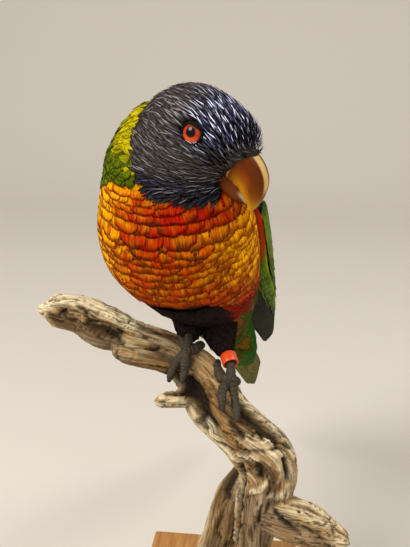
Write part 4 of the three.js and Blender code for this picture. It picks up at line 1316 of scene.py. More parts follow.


# Tints of a wing feather's outer and inner face, with painted light and painted shade in them
def wingLook(row, t, a, random):
    kind = row["kind"]
    inner = colours["wingUnder"] + 0 * t[..., None]
    if kind == "primary":
        tint = mix(colours["primary"], colours["wingGreen"], smooth(0.75, 0.3, t) * (a < 0) * 0.8)
        return mix(tint, colours["primaryEdge"], smooth(-0.7, -0.9, a) * smooth(0.98, 0.7, t) * 0.7), inner
    rim = np.clip(np.abs(a) ** 4 + smooth(0.82, 1, t), 0, 1)
    shade = 0.6 + 0.8 * random
    tint = mix(colours["wingGreen"] * shade + 0 * t[..., None], colours["wingEdge"] * shade, rim * 0.7)
    # Painted light: the lining and margin feathers are painted much lighter so that their shaded face reads as
    # lit
    if kind in ("lining", "margin"):
        tint = mix(tint * 2.2, inner, smooth(0.45 if kind == "lining" else 0.42, 0.6, row["end"]))
    # Painted light: the lesser coverts, seen at a grazing angle, are painted lighter and more yellow
    if kind == "lesser":
        tint = tint * np.array([1.9, 1.7, 1.4])
    redness = smooth(0.06, 0.0, row["start"]) * (kind == "margin")
    tint = mix(tint, colours["wingRed"], np.clip(redness * (0.6 + 0.6 * random), 0, 1) + 0 * t)
    # Painted shade: each wing feather is darker towards its root, where the feathers over it shade it
    return tint * (1 - 0.45 * smooth(0.55, 0.1, t))[..., None], inner


# Layers of a wing's feathers, shared out among its three pieces
def wingLayers(side):
    layers = {"quills": [], "coverts": [], "lining": []}
    for kind, count, starts, ends, roots, tips, width, lift in wingRows + liningRows:
        outer = 1 if lift > 0 else -1
        layer = "lining" if outer < 0 else "quills" if width > 7 else "coverts"
        for i in range(count):
            f = i / (count - 1)
            start, end = between(starts, f), between(ends, f)
            layers[layer].append({
                "kind": kind, "width": width, "length": (end - start) * wingLength / 10,
                "start": start, "end": end,
                "rootAcross": float(wingAcross(start, between(roots, f))),
                "tipAcross": float(wingAcross(end, between(tips, f))),
                "rootLift": lift - 0.8 * outer, "lift": lift + 0.05 * f, "tilt": 0.09 * outer,
                "camber": 0.25 * outer, "outward": wingFrame(side, 0.5)[1] * outer,
                "root": (0.05 + 0.85 * f, 0.05 + 0.85 * max(start, 0) + (0.02 if side > 0 else 0)),
            })
    return layers


# Short feathers that cover the wing's front edge, three in each of 17 steps down from the middle of the wing
def marginRows(side):
    rows = []
    for k in range(17):
        for f in (0, 0.4, 0.8):
            start = 0.5 - 0.034 * (k + f)
            slim = smooth(0.15, 0.45, start)
            across = -2.5 + 0.5 * slim + (3.6 - 2.4 * slim) * f
            rows.append({
                "kind": "margin", "width": 4.2 - 1.6 * slim, "length": 0.11 * wingLength / 10,
                "start": start, "end": start + 0.11, "rootAcross": across, "tipAcross": across,
                "rootLift": 0.05 * k - 0.9, "lift": 0.04 * k - 0.2, "tilt": 0, "camber": 0.4,
                "outward": -wingFrame(side, 0.3)[2], "root": (0.95, 0.03 + 0.05 * k),
            })
    return rows


for side, label in ((1, "left"), (-1, "right")):
    core, coreFaces = loft(wingCoreRings(side))
    newPiece("wing core " + label, core, coreFaces, skinLook, "wing_feathers", ("wing_" + label,),
             {"plumage": np.broadcast_to(colours["wingGreen"] * 0.4, core.shape)})
    onWing = lambda s, w, lift: wingPoint(side, s, w, lift)
    onEdge = lambda s, x, high: wingPoint(side, s, -along(wingShape["below"], s) - high, x)
    for layer, rows in wingLayers(side).items():
        template = quillVane if layer == "quills" else covertVane
        layVanes("wing " + layer + " " + label, template, rows, onWing, wingLook, "wing_feathers")
    layVanes("wing edge " + label, covertVane, marginRows(side), onEdge, wingLook, "wing_feathers")


def tailLook(row, t, a, random):
    shade = 0.8 + 0.4 * random
    top, under = (colours[key] * shade + 0 * t[..., None] for key in ("tailTop", "tailUnder"))
    top = mix(top, colours["tailUnder"], smooth(0.75, 0.95, t) * 0.6)
    return top, mix(under, colours["ventYellow"], smooth(-0.2, -0.8, a) * 0.6)


# The left one of each pair lies over the right one
tailRows = []
for i, reach in enumerate(tailShape["tips"]):
    for side, over in ((1, 1), (-1, 0)):
        tailRows.append({
            "start": -8, "end": reach - 1.5 * (1 - over), "width": tailShape["width"], "length": reach / 10,
            "rootAcross": side * (2 + 0.8 * i), "tipAcross": side * (1.2 + 0.75 * i),
            "rootLift": -0.2 - 0.3 * i, "lift": 0.1 - 0.3 * i + 0.35 * over, "tilt": -0.1 * side,
            "camber": 0.25, "outward": np.array([0, 0.6, 0.8]), "root": (0.05 + 0.07 * (2 * i + over), 0.95),
        })
layVanes("tail quills", quillVane, tailRows, tailPoint, tailLook, "tail_feathers", ("tail",))


# Eyes, lids and bill

eyeMaterial, tree, shader = newMaterial("eye")
tree.links.new(readValues(tree, "iris"), shader.inputs["Base Color"])
sockets(shader, Roughness=0.3, Specular_IOR_Level=0.05, Coat_Weight=0.4, Coat_Roughness=0.02)
lidLook = mottledLook("lids", srgb(8, 6, 6), srgb(22, 18, 17), dict(Scale=2500, Low=0.35, High=0.65),
                      dict(Roughness=0.6, Specular_IOR_Level=0.06))


# Iris and pupil by the angle from the line of sight, with painted shadow of the brow over the top of the iris
def eyeTint(offset, look):
    away = np.degrees(np.arccos(np.clip(offset @ unit(look + 0.12 * headUp), -1, 1)))
    tint = mix(srgb(172, 50, 2), srgb(96, 22, 4), smooth(42, 54, away))
    tint = mix(tint, srgb(226, 84, 4), smooth(0.1, -0.55, offset @ headUp) * smooth(56, 46, away))
    # Painted shadow: the top of the iris is darker where the brow shades it
    tint = mix(tint, srgb(110, 32, 8), smooth(0.25, 0.62, offset @ headUp) * 0.8)
    tint = mix(tint, srgb(10, 7, 7), smooth(52, 58, away))
    return mix(tint, srgb(3, 2, 3), smooth(eyeShape["pupil"] + 1.2, eyeShape["pupil"] - 1, away))


# Points of a lid: a round fold on a ring about the line of sight, pressed down by the brow
def lidPoints(centre, look):
    toBill = unit(headForward - look * np.dot(headForward, look))
    upward = unit(headUp - look * np.dot(headUp, look))
    tt, ww = np.meshgrid(np.arange(72) * 2 * np.pi / 72, np.arange(20) * 2 * np.pi / 20, indexing="ij")
    ring = eyeShape["lidRing"]
    x = np.cos(tt) * ring
    over = np.maximum(np.sin(tt) * ring - (eyeShape["brow"] - eyeShape["browSlant"] * x), 0)
    y = np.sin(tt) * ring - over * 0.75
    wide = np.where(np.cos(ww) < 0, eyeShape["lidIn"], eyeShape["lidOutside"] + 0.7 * over)
    reach = 1 + wide * (1 + 0.06 * np.cos(17 * tt)) * np.cos(ww) / np.hypot(x, y)
    high = eyeShape["lidAt"] + np.sin(ww) * eyeShape["lidHigh"]
    high = high - 0.5 * np.maximum(np.cos(ww), 0) + 0.35 * over
    return centre + look * high[..., None] + toBill * (x * reach)[..., None] + upward * (y * reach)[..., None]


for side, label in ((1, "left"), (-1, "right")):
    centre = eyeAt(side)
    look = unit(inHead(np.array(0.22), np.array(float(side)), np.array(0.12)) - headCentre)
    ball, ballFaces = ballShape(lambda way: centre + way * eyeShape["radius"], 60, 90)
    newPiece("eyeball " + label, ball, ballFaces, eyeMaterial, "eye", ("eye_" + label,),
             {"iris": eyeTint(unit(ball - centre), look)})
    newPiece("lid " + label, lidPoints(centre, look), bandFaces(72, 20)[:, ::side], lidLook, "eye")

billLook = mottledLook("bill", "hornColour", srgb(84, 32, 6),
                       dict(Scale=600, Detail=4, Low=0.35, High=0.75, Most=0.45),
                       dict(Roughness=0.34, Specular_IOR_Level=0.07), (0.15, 0.0003))


# Tints by share from root to tip and by height on the bill, 1 on its upper ridge
def upperBillTint(u, rise):
    tint = mix(srgb(90, 37, 3), srgb(140, 76, 5), smooth(0.35, 0.8, u))
    flush = smooth(0.3, 0.0, np.abs(rise - 0.25)) * smooth(0.2, 0.0, np.abs(u - 0.38))
    tint = mix(tint, srgb(146, 62, 4), flush * 0.7)
    tint = mix(tint, srgb(204, 138, 16), smooth(0.3, -0.4, rise) * smooth(0.1, 0.5, u))
    tint = mix(tint, srgb(236, 196, 120), smooth(-0.55, -0.8, rise) * 0.35)
    # Pale line along the upper ridge: partly its own colour and partly a painted highlight
    tint = mix(tint, srgb(224, 188, 118), smooth(0.962, 0.99, rise) * smooth(0.68, 0.5, u))
    tint = mix(tint, srgb(206, 166, 110), smooth(0.185, 0.165, u) * 0.5)
    return mix(tint, srgb(222, 166, 50), smooth(0.6, 1, u) * 0.8)


def lowerBillTint(u, rise):
    tint = mix(srgb(104, 48, 16), srgb(76, 34, 12), smooth(-0.1, -0.7, rise))
    # Pale strip near the tip of the lower bill: partly its own colour and partly a painted highlight
    return mix(tint, srgb(222, 196, 166), smooth(0.3, 0.7, rise) * smooth(0.55, 0.8, u))


for label, steps, swell, tintOf in (("upper", 60, 0, upperBillTint), ("lower", 40, -0.15, lowerBillTint)):
    points, faces = loft(billRings(billShape[label], steps, 64, swell, square=0.9))
    u = np.append(np.repeat(np.linspace(0, 1, steps + 1), 64), [0, 1])
    angle = np.append(np.tile(np.arange(64) * 2 * np.pi / 64, steps + 1), [0, 0])
    newPiece(label + " bill", points, faces, billLook, "bill", ("bill_" + label,),
             {"hornColour": tintOf(u, np.sin(angle))})


def nostrilAt(side):
    return lambda way: inHead(*(turn * (at + way[..., k] * nostril["size"][k])
                                for k, (turn, at) in enumerate(zip((1, side, 1), nostril["at"]))))


newPiece("nostrils", *joined([ballShape(nostrilAt(side), 16, 24) for side in (1, -1)]), lidLook, "bill")


# Legs, feet and ring

feet = {
    # each toe starts at the end of its shank
    "left": {
        "shank": [[-0.6, 23, 136], [2.2, 17.9, 131.8], [4.2, 13.6, 129.2], [5, 8.9, 125]],
        "toes": [
            [[2.6, 6.6, 122.5], [2, 1.4, 120.8], [2.6, -1.3, 117.9]],
            [[5.9, 7, 120.4], [7.4, 3.1, 116.6], [8.4, -1.7, 113.3]],
            [[6.4, 11.8, 122.2], [6.6, 15.6, 120], [4.4, 19.6, 116.8]],
            [[0.9, 8.3, 125.2], [-1.2, 13.2, 127.6], [-1.6, 20, 126.2]],
        ],
    },
    "right": {
        "shank": [[-14, 25, 141.5], [-13.6, 19.5, 139.3], [-13.1, 14.8, 137.4], [-13.2, 10.6, 135]],
        "toes": [
            [[-16.5, 8.9, 131.4], [-18.5, 8.7, 127.5], [-20.1, 9.6, 123]],
            [[-13.5, 8.1, 131.4], [-13.6, 7, 128.2], [-14, 5.6, 125.6]],
            [[-10.2, 13.5, 134.7], [-9.3, 18.5, 134.2], [-8.5, 23.6, 131.8]],
            [[-14.8, 14.6, 136.2], [-16.9, 20, 136.9], [-18.2, 25.4, 134.6]],
        ],
    },
    "shankRadii": [1.8, 1.7, 1.7, 2.1],
    "toeRadii": [2.0, 1.9, 1.7, 1.4],
    "clawRadii": [1.2, 1.0, 0.7, 0.2],
    "clawLength": 5,
}
footLook = mottledLook("foot", "scaleTint", srgb(112, 98, 76),
                       dict(Scale=1500, Detail=4, Low=0.42, High=0.68, Most=0.6),
                       dict(Roughness=0.6, Specular_IOR_Level=0.2), (0.35, 0.0002))


# Scales round a shank or toe
def scutes(count, depth):
    return lambda angle, u: 1 + depth * (np.abs(np.sin(np.pi * count * u)) ** 0.6 - 0.6) \
        + 0.03 * np.cos(3 * angle + 9 * u)


def footShapes(leg):
    shapes = [(roundedLimb(leg["shank"], feet["shankRadii"], 24, 60, scutes(9, 0.16)), "scale")]
    pads = lambda angle, u: scutes(8, 0.2)(angle, u) * (1 + 0.06 * np.cos(5 * np.pi * u))
    for toe in leg["toes"]:
        toe = np.array([leg["shank"][-1]] + toe, float)
        shapes.append((roundedLimb(toe, feet["toeRadii"], 24, 56, pads), "scale"))
        way = unit(toe[3] - toe[2])
        inside = (toe[1] + toe[3]) * 0.5 * 0.65 + toe[0] * 0.35 + np.array([0, 2, -2])
        inward = unit(inside - toe[3])
        path = [toe[3] + (way * f * 0.85 + inward * f * f * 0.55) * feet["clawLength"]
                for f in (-0.25, 0.25, 0.65, 1)]
        shapes.append((roundedLimb(path, feet["clawRadii"], 20, 20), "claw"))
    return shapes


for side in ("left", "right"):
    shapes = footShapes(feet[side])
    points, faces = joined([shape for shape, _ in shapes])
    tint = np.concatenate([np.broadcast_to(srgb(38, 33, 25) if kind == "scale" else srgb(20, 18, 16),
                                           (len(shape[0]), 3)) for shape, kind in shapes])
    newPiece("scaly foot " + side, points, faces, footLook, "foot", ("foot_" + side,), {"scaleTint": tint})

ringLook = mottledLook("leg ring", srgb(214, 56, 16), srgb(232, 92, 30), dict(Scale=900),
                       dict(Roughness=0.35))
legRing = {"radius": 3.3, "hole": 2.5, "height": 4.6, "along": 0.55, "round": 0.3}
shankPath = np.array(feet["left"]["shank"], float)
ringWay = unit(along(shankPath, legRing["along"] + 0.1) - along(shankPath, legRing["along"] - 0.1))
ringSide = unit(np.cross(ringWay, [0, 0, 1]))
ringUp = np.cross(ringWay, ringSide)
profile = []
for key, way, start in (("radius", 1, 0), ("hole", 1, 90), ("hole", -1, 180), ("radius", -1, 270)):
    inward = 1 if key == "hole" else -1
    for turn in np.radians(range(start, start + 91, 30)):
        profile.append((legRing[key] + (inward + math.cos(turn)) * legRing["round"],
                        way * (legRing["height"] / 2 - legRing["round"]) + math.sin(turn) * legRing["round"]))
profile = np.array(profile)
turns = np.arange(96) * 2 * np.pi / 96
spokes = ringSide * np.cos(turns)[:, None] + ringUp * np.sin(turns)[:, None]
ringPoints = along(shankPath, legRing["along"]) + spokes[:, None] * profile[None, :, 0, None]
ringPoints = ringPoints + ringWay * profile[None, :, 1, None]
newPiece("leg ring band", ringPoints, bandFaces(96, len(profile)), ringLook, "leg_ring", ("leg_ring",))
print("eyes, bill, feet and ring")


# Driftwood

woodLimbs = [
    {
        "path": [[-74.8, 24.3, 144.6], [-72.5, 24.3, 144.4], [-68.5, 23.8, 144.2], [-59, 23.4, 143],
                 [-51.5, 22, 140], [-45.3, 21, 138], [-39.4, 21, 135.6], [-32.5, 20, 133.6], [-25, 19, 131.5],
                 [-18, 18, 128.5], [-10.5, 16, 124], [-5, 13, 117]],
        "radii": [3, 5.2, 6.7, 7.8, 8.7, 8.1, 6.7, 6.7, 7.3, 8, 9.5, 9.5],
        "twist": 0.010,
    },
    {
        "path": [[-43, 13.2, 133.4], [-40.2, 12.6, 133.2], [-35.3, 12.6, 132], [-29.5, 12.8, 130.6],
                 [-23.9, 13.7, 128.6], [-17, 14.6, 126]],
        "radii": [1.8, 4.1, 4.8, 5, 4.9, 5],
        "twist": 0.02,
    },
    {
        "path": [[-12, 15, 123.5], [-6, 13, 118.5], [-2.3, 10.8, 113.4], [3.6, 8, 107], [13.2, 4.5, 100],
                 [20, 2.6, 92.9], [21.6, 1.2, 85.3], [19.1, -0.3, 75.6], [16.9, -1.8, 66.7], [16, -3.3, 56.8],
                 [15, -4.5, 45], [13.5, -5, 32], [13, -5, 20.3]],
        "radii": [8, 9.5, 11.2, 10.6, 11.2, 11.8, 11, 9.8, 8.4, 7.6, 7.8, 9, 11],
        "twist": 0.022,
    },
    {
        "path": [[-6, 12, 116], [-12, 8.6, 116.8], [-16.1, 5.1, 117.1], [-19.8, 2.7, 117.5],
                 [-22.6, 1.3, 117.8]],
        "radii": [6, 5, 3.7, 3.1, 2.2],
        "twist": 0.02,
    },
    {
        "path": [[17, 8, 90], [13.6, 11.5, 80.7], [9.8, 13, 71.8], [6.6, 13, 63.5], [4, 12.5, 54],
                 [0.8, 11.5, 44], [-3.6, 11, 33], [-7, 11, 20.3]],
        "radii": [5, 6, 7.5, 8.2, 7.9, 7.6, 8.2, 10],
        "twist": 0.02,
    },
    {
        "path": [[14, -1, 68], [20.9, -2.6, 71.5], [28.8, -5.2, 70.8], [35.7, -7, 69.8], [43.7, -9.8, 68],
                 [50.5, -11.5, 67]],
        "radii": [6, 7.8, 8.8, 8.8, 7.2, 4.4],
        "twist": 0.015,
    },
]
woodTop = 20.3


# Middle line of a limb with its directions, radii and length so far
def woodFrame(one):
    path = np.array(one["path"], float)
    u = np.linspace(0, 1, 70)
    spine = along(path, u)
    tangents = unit(np.gradient(spine, axis=0))
    normals = squareTo(tangents)
    length = np.append(0, np.cumsum(np.linalg.norm(np.diff(spine, axis=0), axis=1)))
    return spine, tangents, normals, np.cross(tangents, normals), along(one["radii"], u), length


# Where each point lies on each limb, blended where limbs meet: weights, angle, distance along
def woodPlaces(points):
    found = []
    for one in woodLimbs:
        spine, tangents, normals, across, radii, length = woodFrame(one)
        away = np.linalg.norm(points[:, None] - spine[None], axis=-1)
        k = away.argmin(axis=1)
        offset = points - spine[k]
        angle = np.arctan2((offset * across[k]).sum(-1), (offset * normals[k]).sum(-1))
        at = length[k] + (offset * tangents[k]).sum(-1)
        found.append((radii[k] - away.min(axis=1), angle, at, radii[k]))
    score = np.array([f[0] for f in found])
    weight = np.exp((score - score.max(axis=0)) / 1.2)
    return found, weight / weight.sum(axis=0)


# Relief: broad ridges, cracks and fine lines that wind round each limb, and places in the grain
def woodRelief(points):
    found, weight = woodPlaces(points)
    best = weight.argmax(axis=0)
    broad, crack, fine = (np.zeros(len(points)) for _ in range(3))
    grain = np.zeros((len(points), 3))
    for k, (_, angle, at, radius) in enumerate(found):
        use = weight[k] > 0.02
        turn = angle[use] + woodLimbs[k]["twist"] * at[use]
        cosine, sine, run = np.cos(turn) * radius[use], np.sin(turn) * radius[use], at[use]
        lines = lambda step, stretch, seed: noiseAt(
            np.stack([cosine * step, sine * step, run * stretch + seed * (k + 1)], -1), 1.0, 3)
        share = weight[k][use]
        broad[use] += share * lines(0.16, 0.03, 9)
        crack[use] += share * smooth(0.1, 0.015, np.abs(lines(0.27, 0.03, 4)))
        fine[use] += share * lines(0.8, 0.05, 5)
        mine = best[use] == k
        grain[np.flatnonzero(use)[mine]] = np.stack([cosine, sine, run * 0.07 + 31 * k], -1)[mine]
    return broad, crack, fine, grain


# Part of a ring that faces the front, in degrees from its right-hand end
def arcCourse(centre, radius, first, last):
    front = unit(-np.array(view["gaze"]))
    right = unit(np.cross([0, 0, 1], front))
    up = np.cross(front, right)
    return [np.array(centre) + radius * (right * math.cos(a) + up * math.sin(a))
            for a in np.radians(np.linspace(first, last, 12))]


woodTints = {
    "cream": srgb(244, 226, 184),
    "tan": srgb(184, 153, 106),
    "ochre": srgb(164, 122, 70),
    "grey": srgb(128, 112, 92),
    "brown": srgb(86, 66, 44),
    # painted shade, laid in hollows, grooves and cracks
    "dark": srgb(18, 14, 10),
}
# Marks on the wood: course, reach to the side, height (a hollow is below 0), tint and its strength; the dark
# tint in the hollows and grooves is painted shade
woodMarks = [
    # tone of whole stretches
    ([[-66, 16, 143], [-50, 13, 138], [-42, 9, 131], [-30, 9, 129], [-22, 10, 127]], 6.5, 0, "brown", 0.75),
    ([[-40, 21, 143], [-30, 17, 139.5], [-20, 14, 136], [-12, 12, 132]], 5, 0, "brown", 0.6),
    ([[4, 8, 100], [0, 6, 108], [-6, 8, 112]], 7, 0, "brown", 0.5),
    ([[18.8, -9.8, 80], [18.5, -10.3, 66], [17, -11, 50]], 7, 0, "grey", 0.6),
    ([[5, 9, 76], [3, 6, 66], [0, 6, 52], [-3, 5, 38]], 6, 0, "brown", 0.5),
    ([[24, -12, 76], [34, -15, 71], [46, -17, 68]], 4, 0, "grey", 0.5),
    # arm
    ([[-76, 22, 148], [-72, 21, 150], [-64.6, 22, 151.5], [-52, 20.7, 149.8], [-46, 19.1, 147],
      [-38.5, 19, 143]], 4.4, 0.5, "cream", 1.0),
    (arcCourse([-61.3, 17.1, 146.6], 3.7, 0, 320), 0.75, -0.9, "dark", 0.8),
    ([[-67, 17.5, 145], [-63.5, 17.5, 149.6], [-57, 18, 148.6], [-54, 15.1, 145], [-46, 15.2, 143.6],
      [-39, 15.1, 139.8], [-30, 14.6, 138.2]], 0.8, -1.3, "dark", 0.9),
    ([[-54.2, 14.5, 143.2], [-47, 14, 141.5], [-42.4, 13, 139.6], [-39.5, 12, 137]], 1.7, -1.6, "dark", 0.85),
    ([[-72, 18, 143], [-64, 15.5, 141.5], [-58, 14.5, 139]], 1.0, -1.0, "dark", 0.8),
    ([[-50, 13, 138], [-45, 12, 134.5], [-42, 11.5, 132]], 0.9, -0.9, "dark", 0.7),
    ([[-42, 9.5, 136.6], [-37, 9, 137], [-32, 10, 137.2], [-26, 11, 137]], 0.8, -1.2, "dark", 0.85),
    (arcCourse([-36.6, 8.3, 133.6], 2.6, -100, 80), 0.6, -0.6, "dark", 0.7),
    ([[-41.5, 9, 134.8], [-38, 8.4, 134.6], [-34, 8.3, 133.4]], 2.0, 0.3, "tan", 0.7),
    ([[-29.4, 10.6, 135.4], [-27, 11.5, 135.2], [-25, 12.3, 134.9]], 0.9, -1.2, "dark", 0.9),
    ([[-34, 8, 131], [-28, 8.3, 130], [-22, 8.5, 128.5]], 2.2, 0.2, "ochre", 0.5),
    # hollow under the right foot, painted black as painted shade, and the stub below it
    ([[-17.5, 8, 122.5], [-13.4, 6.7, 122.6], [-8.1, 3.4, 119], [-4.5, 1.5, 114], [-2.5, 0.1, 109.6]],
     4.6, -3.4, "dark", 1.0),
    ([[-15, 5, 127], [-9, 4, 122], [-3.5, 1.5, 117.5]], 3.2, -0.6, "dark", 0.85),
    ([[0, -2, 112], [4.5, -3.5, 106.5], [8.5, -5, 101]], 2.0, -0.5, "dark", 0.6),
    ([[-22, 0.5, 119.2], [-17, 1.5, 117.6], [-13, 3.5, 115.8]], 1.6, 0.4, "cream", 0.7),
    ([[-21, 0.8, 121], [-16, 2.5, 119.6]], 0.8, -0.7, "dark", 0.8),
    # ridges and grooves of the trunk down to the bend
    ([[-5, 4.5, 124], [-1, 1, 118.5], [-0.9, -0.3, 115.6], [5.9, -3.2, 106], [9.3, -5.3, 98.9]],
     2.2, 0.8, "ochre", 0.8),
    ([[-4, 2, 111], [-2.9, 0, 107.6], [3.5, -2.6, 101.5], [10.2, -5.7, 96.8]], 1.6, 0.9, "cream", 0.75),
    ([[-1.2, -0.6, 108], [3.5, -2.6, 103.8], [8, -4.2, 99]], 0.8, -1.2, "dark", 0.85),
    ([[2, -2, 119], [3.3, -2.4, 116], [8.2, -3.1, 109.3], [11, -4, 106.5]], 1.5, -1.8, "dark", 0.95),
    ([[7, 8, 117.6], [11, 7, 115.6], [16.5, 5.2, 112.8], [23, 3, 108], [28, 1.2, 103.5], [30, 0, 97]],
     2.1, 1.0, "cream", 0.95),
    ([[8, 4.5, 115], [10.4, 3, 113.3], [18.3, -0.6, 108.2], [24, -1, 104.6]], 2.6, -2.2, "dark", 0.95),
    ([[9.5, -0.1, 112.2], [14, -2, 108.6]], 2.2, -1.0, "brown", 0.9),
    (arcCourse([16.7, -3.4, 106.4], 1.8, 0, 330), 1.0, -0.9, "dark", 0.9),
    ([[12.6, -4.2, 106.6], [15, -4.6, 104.7], [17.8, -4.6, 104], [20.8, -3.9, 104.6]],
     0.8, 0.9, "cream", 0.9),
    (arcCourse([11, -5.1, 103.4], 1.9, 60, 400), 0.55, -0.6, "dark", 0.8),
    ([[10.4, -5.1, 103.8], [11.4, -5.2, 103]], 1.3, 0.5, "ochre", 0.9),
    ([[13, -5.5, 101.6], [17, -6, 101.4], [21, -5.4, 101.3], [24, -3.6, 101.6]], 1.2, -1.5, "dark", 0.9),
    ([[25.2, -0.9, 102.9], [28.9, 0.2, 99.3]], 1.2, -1.2, "dark", 0.9),
    # the bend: nested ridges, holes between them
    ([[9, -5, 99.4], [13, -6.4, 99], [16.6, -7.2, 98.5], [21.3, -6.9, 96.8], [22.3, -7.8, 92.4],
      [19.7, -9.3, 87.2], [15.5, -8, 83.8]], 1.3, 1.1, "cream", 0.8),
    ([[20.1, -5.1, 102], [23.8, -5.9, 98.7], [25.6, -6.9, 93.5], [25.2, -7.5, 88.7]],
     1.2, 1.0, "cream", 0.95),
    ([[22.4, -6.1, 99], [23.9, -7.2, 94.5], [23.6, -7.6, 90]], 0.6, -1.8, "dark", 0.95),
    ([[17.6, -8.2, 95.4], [18.8, -8.6, 93.6], [18.4, -8.8, 91.6]], 1.5, -1.8, "dark", 0.95),
    ([[27.6, -4.6, 97.5], [28.9, -6, 93], [28.4, -6, 89]], 1.5, -2.2, "dark", 0.95),
    ([[13, -6, 93], [14, -7.5, 88], [13, -7, 84]], 1.4, 0.3, "tan", 0.6),
    ([[11.2, -4.5, 95.5], [11, -5, 91], [12.2, -3.3, 82.9], [10.8, -4.7, 74.2], [9.5, -6, 64], [8, -6, 54]],
     2.0, -2.4, "dark", 1.0),
    ([[7, 8, 82], [5.5, 9, 77], [4.5, 8, 71]], 3.0, -0.8, "dark", 0.9),
    # low trunk and root
    ([[19.5, -9.8, 79], [18.8, -9.8, 75], [18.2, -10.4, 70]], 0.7, -0.9, "dark", 0.85),
    ([[22.5, -9, 82], [21.6, -9.6, 76], [22.4, -10, 70]], 0.7, -0.8, "dark", 0.8),
    ([[4, 6.6, 66], [1, 6.2, 58], [-1, 6.4, 50]], 1.0, -0.9, "dark", 0.8),
    ([[0.5, 7.5, 62], [-2.5, 8, 52], [-6, 8, 42]], 1.2, 0.4, "tan", 0.7),
    # knob to the right
    ([[22, -7.5, 82.4], [26, -7.4, 83.2], [30, -6.8, 82.6], [37, -6, 80], [44, -8, 76.6], [51, -10, 72]],
     2.4, 0.5, "cream", 0.85),
    (arcCourse([31.1, -11.6, 76.8], 3.3, -75, 120), 0.6, -1.0, "dark", 0.95),
    (arcCourse([31.1, -11.6, 76.8], 3.5, 190, 265), 0.5, -0.7, "dark", 0.7),
    ([[25.2, -11, 77], [28, -12.5, 75], [31.3, -14.1, 73.2], [36, -14.5, 71]], 1.1, -1.5, "dark", 0.9),
    ([[36, -11, 78.5], [40, -12, 75], [42, -14.5, 71]], 0.6, -0.7, "dark", 0.75),
    ([[44, -10, 77], [46.5, -12, 74.5], [48, -14, 71.5]], 0.6, -0.7, "dark", 0.75),
    ([[40, -14.8, 67.5], [44, -15.4, 66.4], [48, -15, 65.6]], 1.0, -0.8, "dark", 0.85),
]


# Lays the marks on: moves the surface and gives its tint
def markWood(points, tint):
    height = np.zeros(len(points))
    ragged = noiseAt(points, 0.35, 2)
    for course, reach, high, name, strength in woodMarks:
        line = along(np.array(course, float), np.linspace(0, 1, 12 * len(course)))
        low, top = line.min(axis=0) - 2 * reach, line.max(axis=0) + 2 * reach
        near = np.flatnonzero(((points > low) & (points < top)).all(axis=1))
        away = np.linalg.norm(points[near][:, None] - line[None], axis=-1).min(axis=1)
        share = smooth(1.3, 0.45, away / reach + 0.35 * ragged[near])
        height[near] += high * share
        tint[near] = mix(tint[near], woodTints[name], share * strength)
    return height, tint


woodShapes = [roundedLimb(one["path"], one["radii"], 40, 60) for one in woodLimbs]
woodPoints, woodFaces = fused(woodShapes, 0.6, 4)
woodNormals = vertexNormals(woodPoints, woodFaces)
broad, crack, fine, grain = woodRelief(woodPoints)
woodTint = mix(woodTints["tan"], woodTints["ochre"], smooth(-0.1, 0.4, -fine) * 0.8)
woodTint = mix(woodTint, woodTints["cream"], smooth(0.05, 0.4, broad) * 0.6)
woodTint = mix(woodTint, woodTints["brown"], smooth(0.0, -0.4, broad) * 0.8)
markHeight, woodTint = markWood(woodPoints, woodTint)
# Painted shade: the cracks are darkened
woodTint = mix(woodTint, woodTints["dark"], crack * 0.85)
woodPoints = woodPoints + woodNormals * (markHeight + 0.2 + 1.3 * broad - 0.9 * crack + 0.45 * fine)[:, None]
woodPoints[:, 2] = np.maximum(woodPoints[:, 2], woodTop)
woodLook, tree, shader = newMaterial("driftwood")
lines = mottle(tree, readValues(tree, "grainWay", "Vector"), Scale=1.5, Detail=4, Roughness=0.6,
               Low=0.42, High=0.68, Most=0.75)
specks = mottle(tree, Scale=650, Detail=5, Roughness=0.65, Low=0.45, High=0.8, Most=0.5)
lined = blendColour(tree, lines.outputs["Mask"], readValues(tree, "woodTint"),
                    srgb(58, 40, 26))
specked = blendColour(tree, specks.outputs["Mask"], lined, srgb(74, 54, 38))
tree.links.new(specked, shader.inputs["Base Color"])
bumps(tree, calc(tree, "SUBTRACT", specks.outputs["Height"], lines.outputs["Height"]), shader,
      0.6, 0.0005)
sockets(shader, Roughness=0.8, Specular_IOR_Level=0.1)
newPiece("weathered driftwood", woodPoints, woodFaces, woodLook, "driftwood", ("driftwood",),
         {"woodTint": woodTint, "grainWay": grain})
print("driftwood:", len(woodPoints), "points")


# Block under the driftwood

block = {"width": 69, "depth": 90, "height": 20, "rounding": 1.2, "steps": 5}
blockLook = mottledLook("block wood", srgb(182, 130, 66), srgb(144, 94, 42),
                        dict(stretch=(1, 0.08, 1), Scale=420, Detail=6, Roughness=0.6, Low=0.35, High=0.7),
                        dict(Roughness=0.5), (0.15, 0.0002))


def roundedBlock():
    rings = []
    r, steps = block["rounding"], block["steps"]
    levels = [(r - r * math.cos(a), r - r * math.sin(a)) for a in np.linspace(0, math.pi / 2, steps)]
    levels += [(block["height"] - z, inset) for z, inset in reversed(levels)]
    for z, inset in levels:
        ring = []
        for cx, cy, start in ((1, 1, 0), (-1, 1, 90), (-1, -1, 180), (1, -1, 270)):
            for turn in np.linspace(start, start + 90, steps):
                c, s = math.cos(math.radians(turn)), math.sin(math.radians(turn))
                x = cx * (block["width"] / 2 - r) + c * (r - inset)
                y = cy * (block["depth"] / 2 - r) + s * (r - inset)
                ring.append((x, y, z))
        rings.append(ring)
    count = len(rings[0])
    faces = [tuple(f) for f in gridFaces(len(rings), count)]
    faces.append(tuple(range(count - 1, -1, -1)))
    faces.append(tuple(range((len(rings) - 1) * count, len(rings) * count)))
    return np.array(rings).reshape(-1, 3), faces


newPiece("block", *roundedBlock(), blockLook, "block", ("base",))


# Floor, light and camera

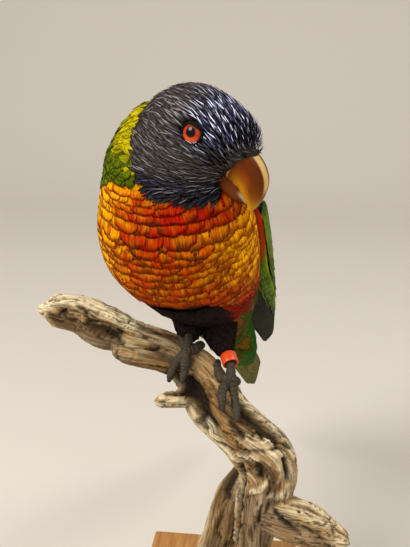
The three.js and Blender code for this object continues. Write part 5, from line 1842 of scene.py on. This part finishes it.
floorLook, tree, shader = newMaterial("paper")
sockets(shader, Base_Color=(*srgb(209, 203, 194), 1), Roughness=0.9)
sweep = {"front": -900, "bend": 700, "radius": 300, "top": 2200, "side": 2500}
profile = [(sweep["front"], 0), (sweep["bend"], 0)]
profile += [(sweep["bend"] + sweep["radius"] * math.sin(a), sweep["radius"] * (1 - math.cos(a)))
            for a in np.linspace(0.1, math.pi / 2, 12)]
profile.append((sweep["bend"] + sweep["radius"], sweep["top"]))
floorPoints = np.array([[x, y, z] for y, z in profile for x in (-sweep["side"], sweep["side"])])
floorFaces = np.array([[2 * k, 2 * k + 1, 2 * k + 3, 2 * k + 2] for k in range(len(profile) - 1)])
floor = newPiece("floor", floorPoints, floorFaces, floorLook)

world = bpy.data.worlds.new("room")
world.use_nodes = True
sockets(world.node_tree.nodes["Background"], Color=(*srgb(250, 244, 236), 1), Strength=0.55)
bpy.context.scene.world = world
bpy.context.scene.view_settings.view_transform = "Standard"


def areaLight(name, at, size, power, colour):
    light = bpy.data.lights.new(name, "AREA")
    light.shape = "DISK"
    light.size = size
    light.energy = power
    light.color = colour
    lamp = bpy.data.objects.new(name, light)
    lamp.location = at
    lamp.visible_camera = False
    lamp.rotation_euler = (Vector((0, 0.02, 0.15)) - Vector(at)).to_track_quat("-Z", "Y").to_euler()
    bpy.context.scene.collection.objects.link(lamp)


areaLight("key", (-0.5, -0.45, 0.8), 0.45, 9, (1, 0.97, 0.93))
areaLight("rim", (0.5, 0.15, 0.8), 0.3, 2.5, (1, 0.97, 0.94))
areaLight("fill", (0.35, -0.7, 0.5), 0.6, 1.0, (0.97, 0.98, 1))

camera = bpy.data.cameras.new("camera")
camera.lens = 36 * view["focal"] / view["frameHeight"]
cameraObject = bpy.data.objects.new("camera", camera)
cameraObject.location = np.array(view["at"]) * mm
cameraObject.rotation_euler = Vector(view["gaze"]).to_track_quat("-Z", "Y").to_euler()
bpy.context.scene.collection.objects.link(cameraObject)
bpy.context.scene.camera = cameraObject
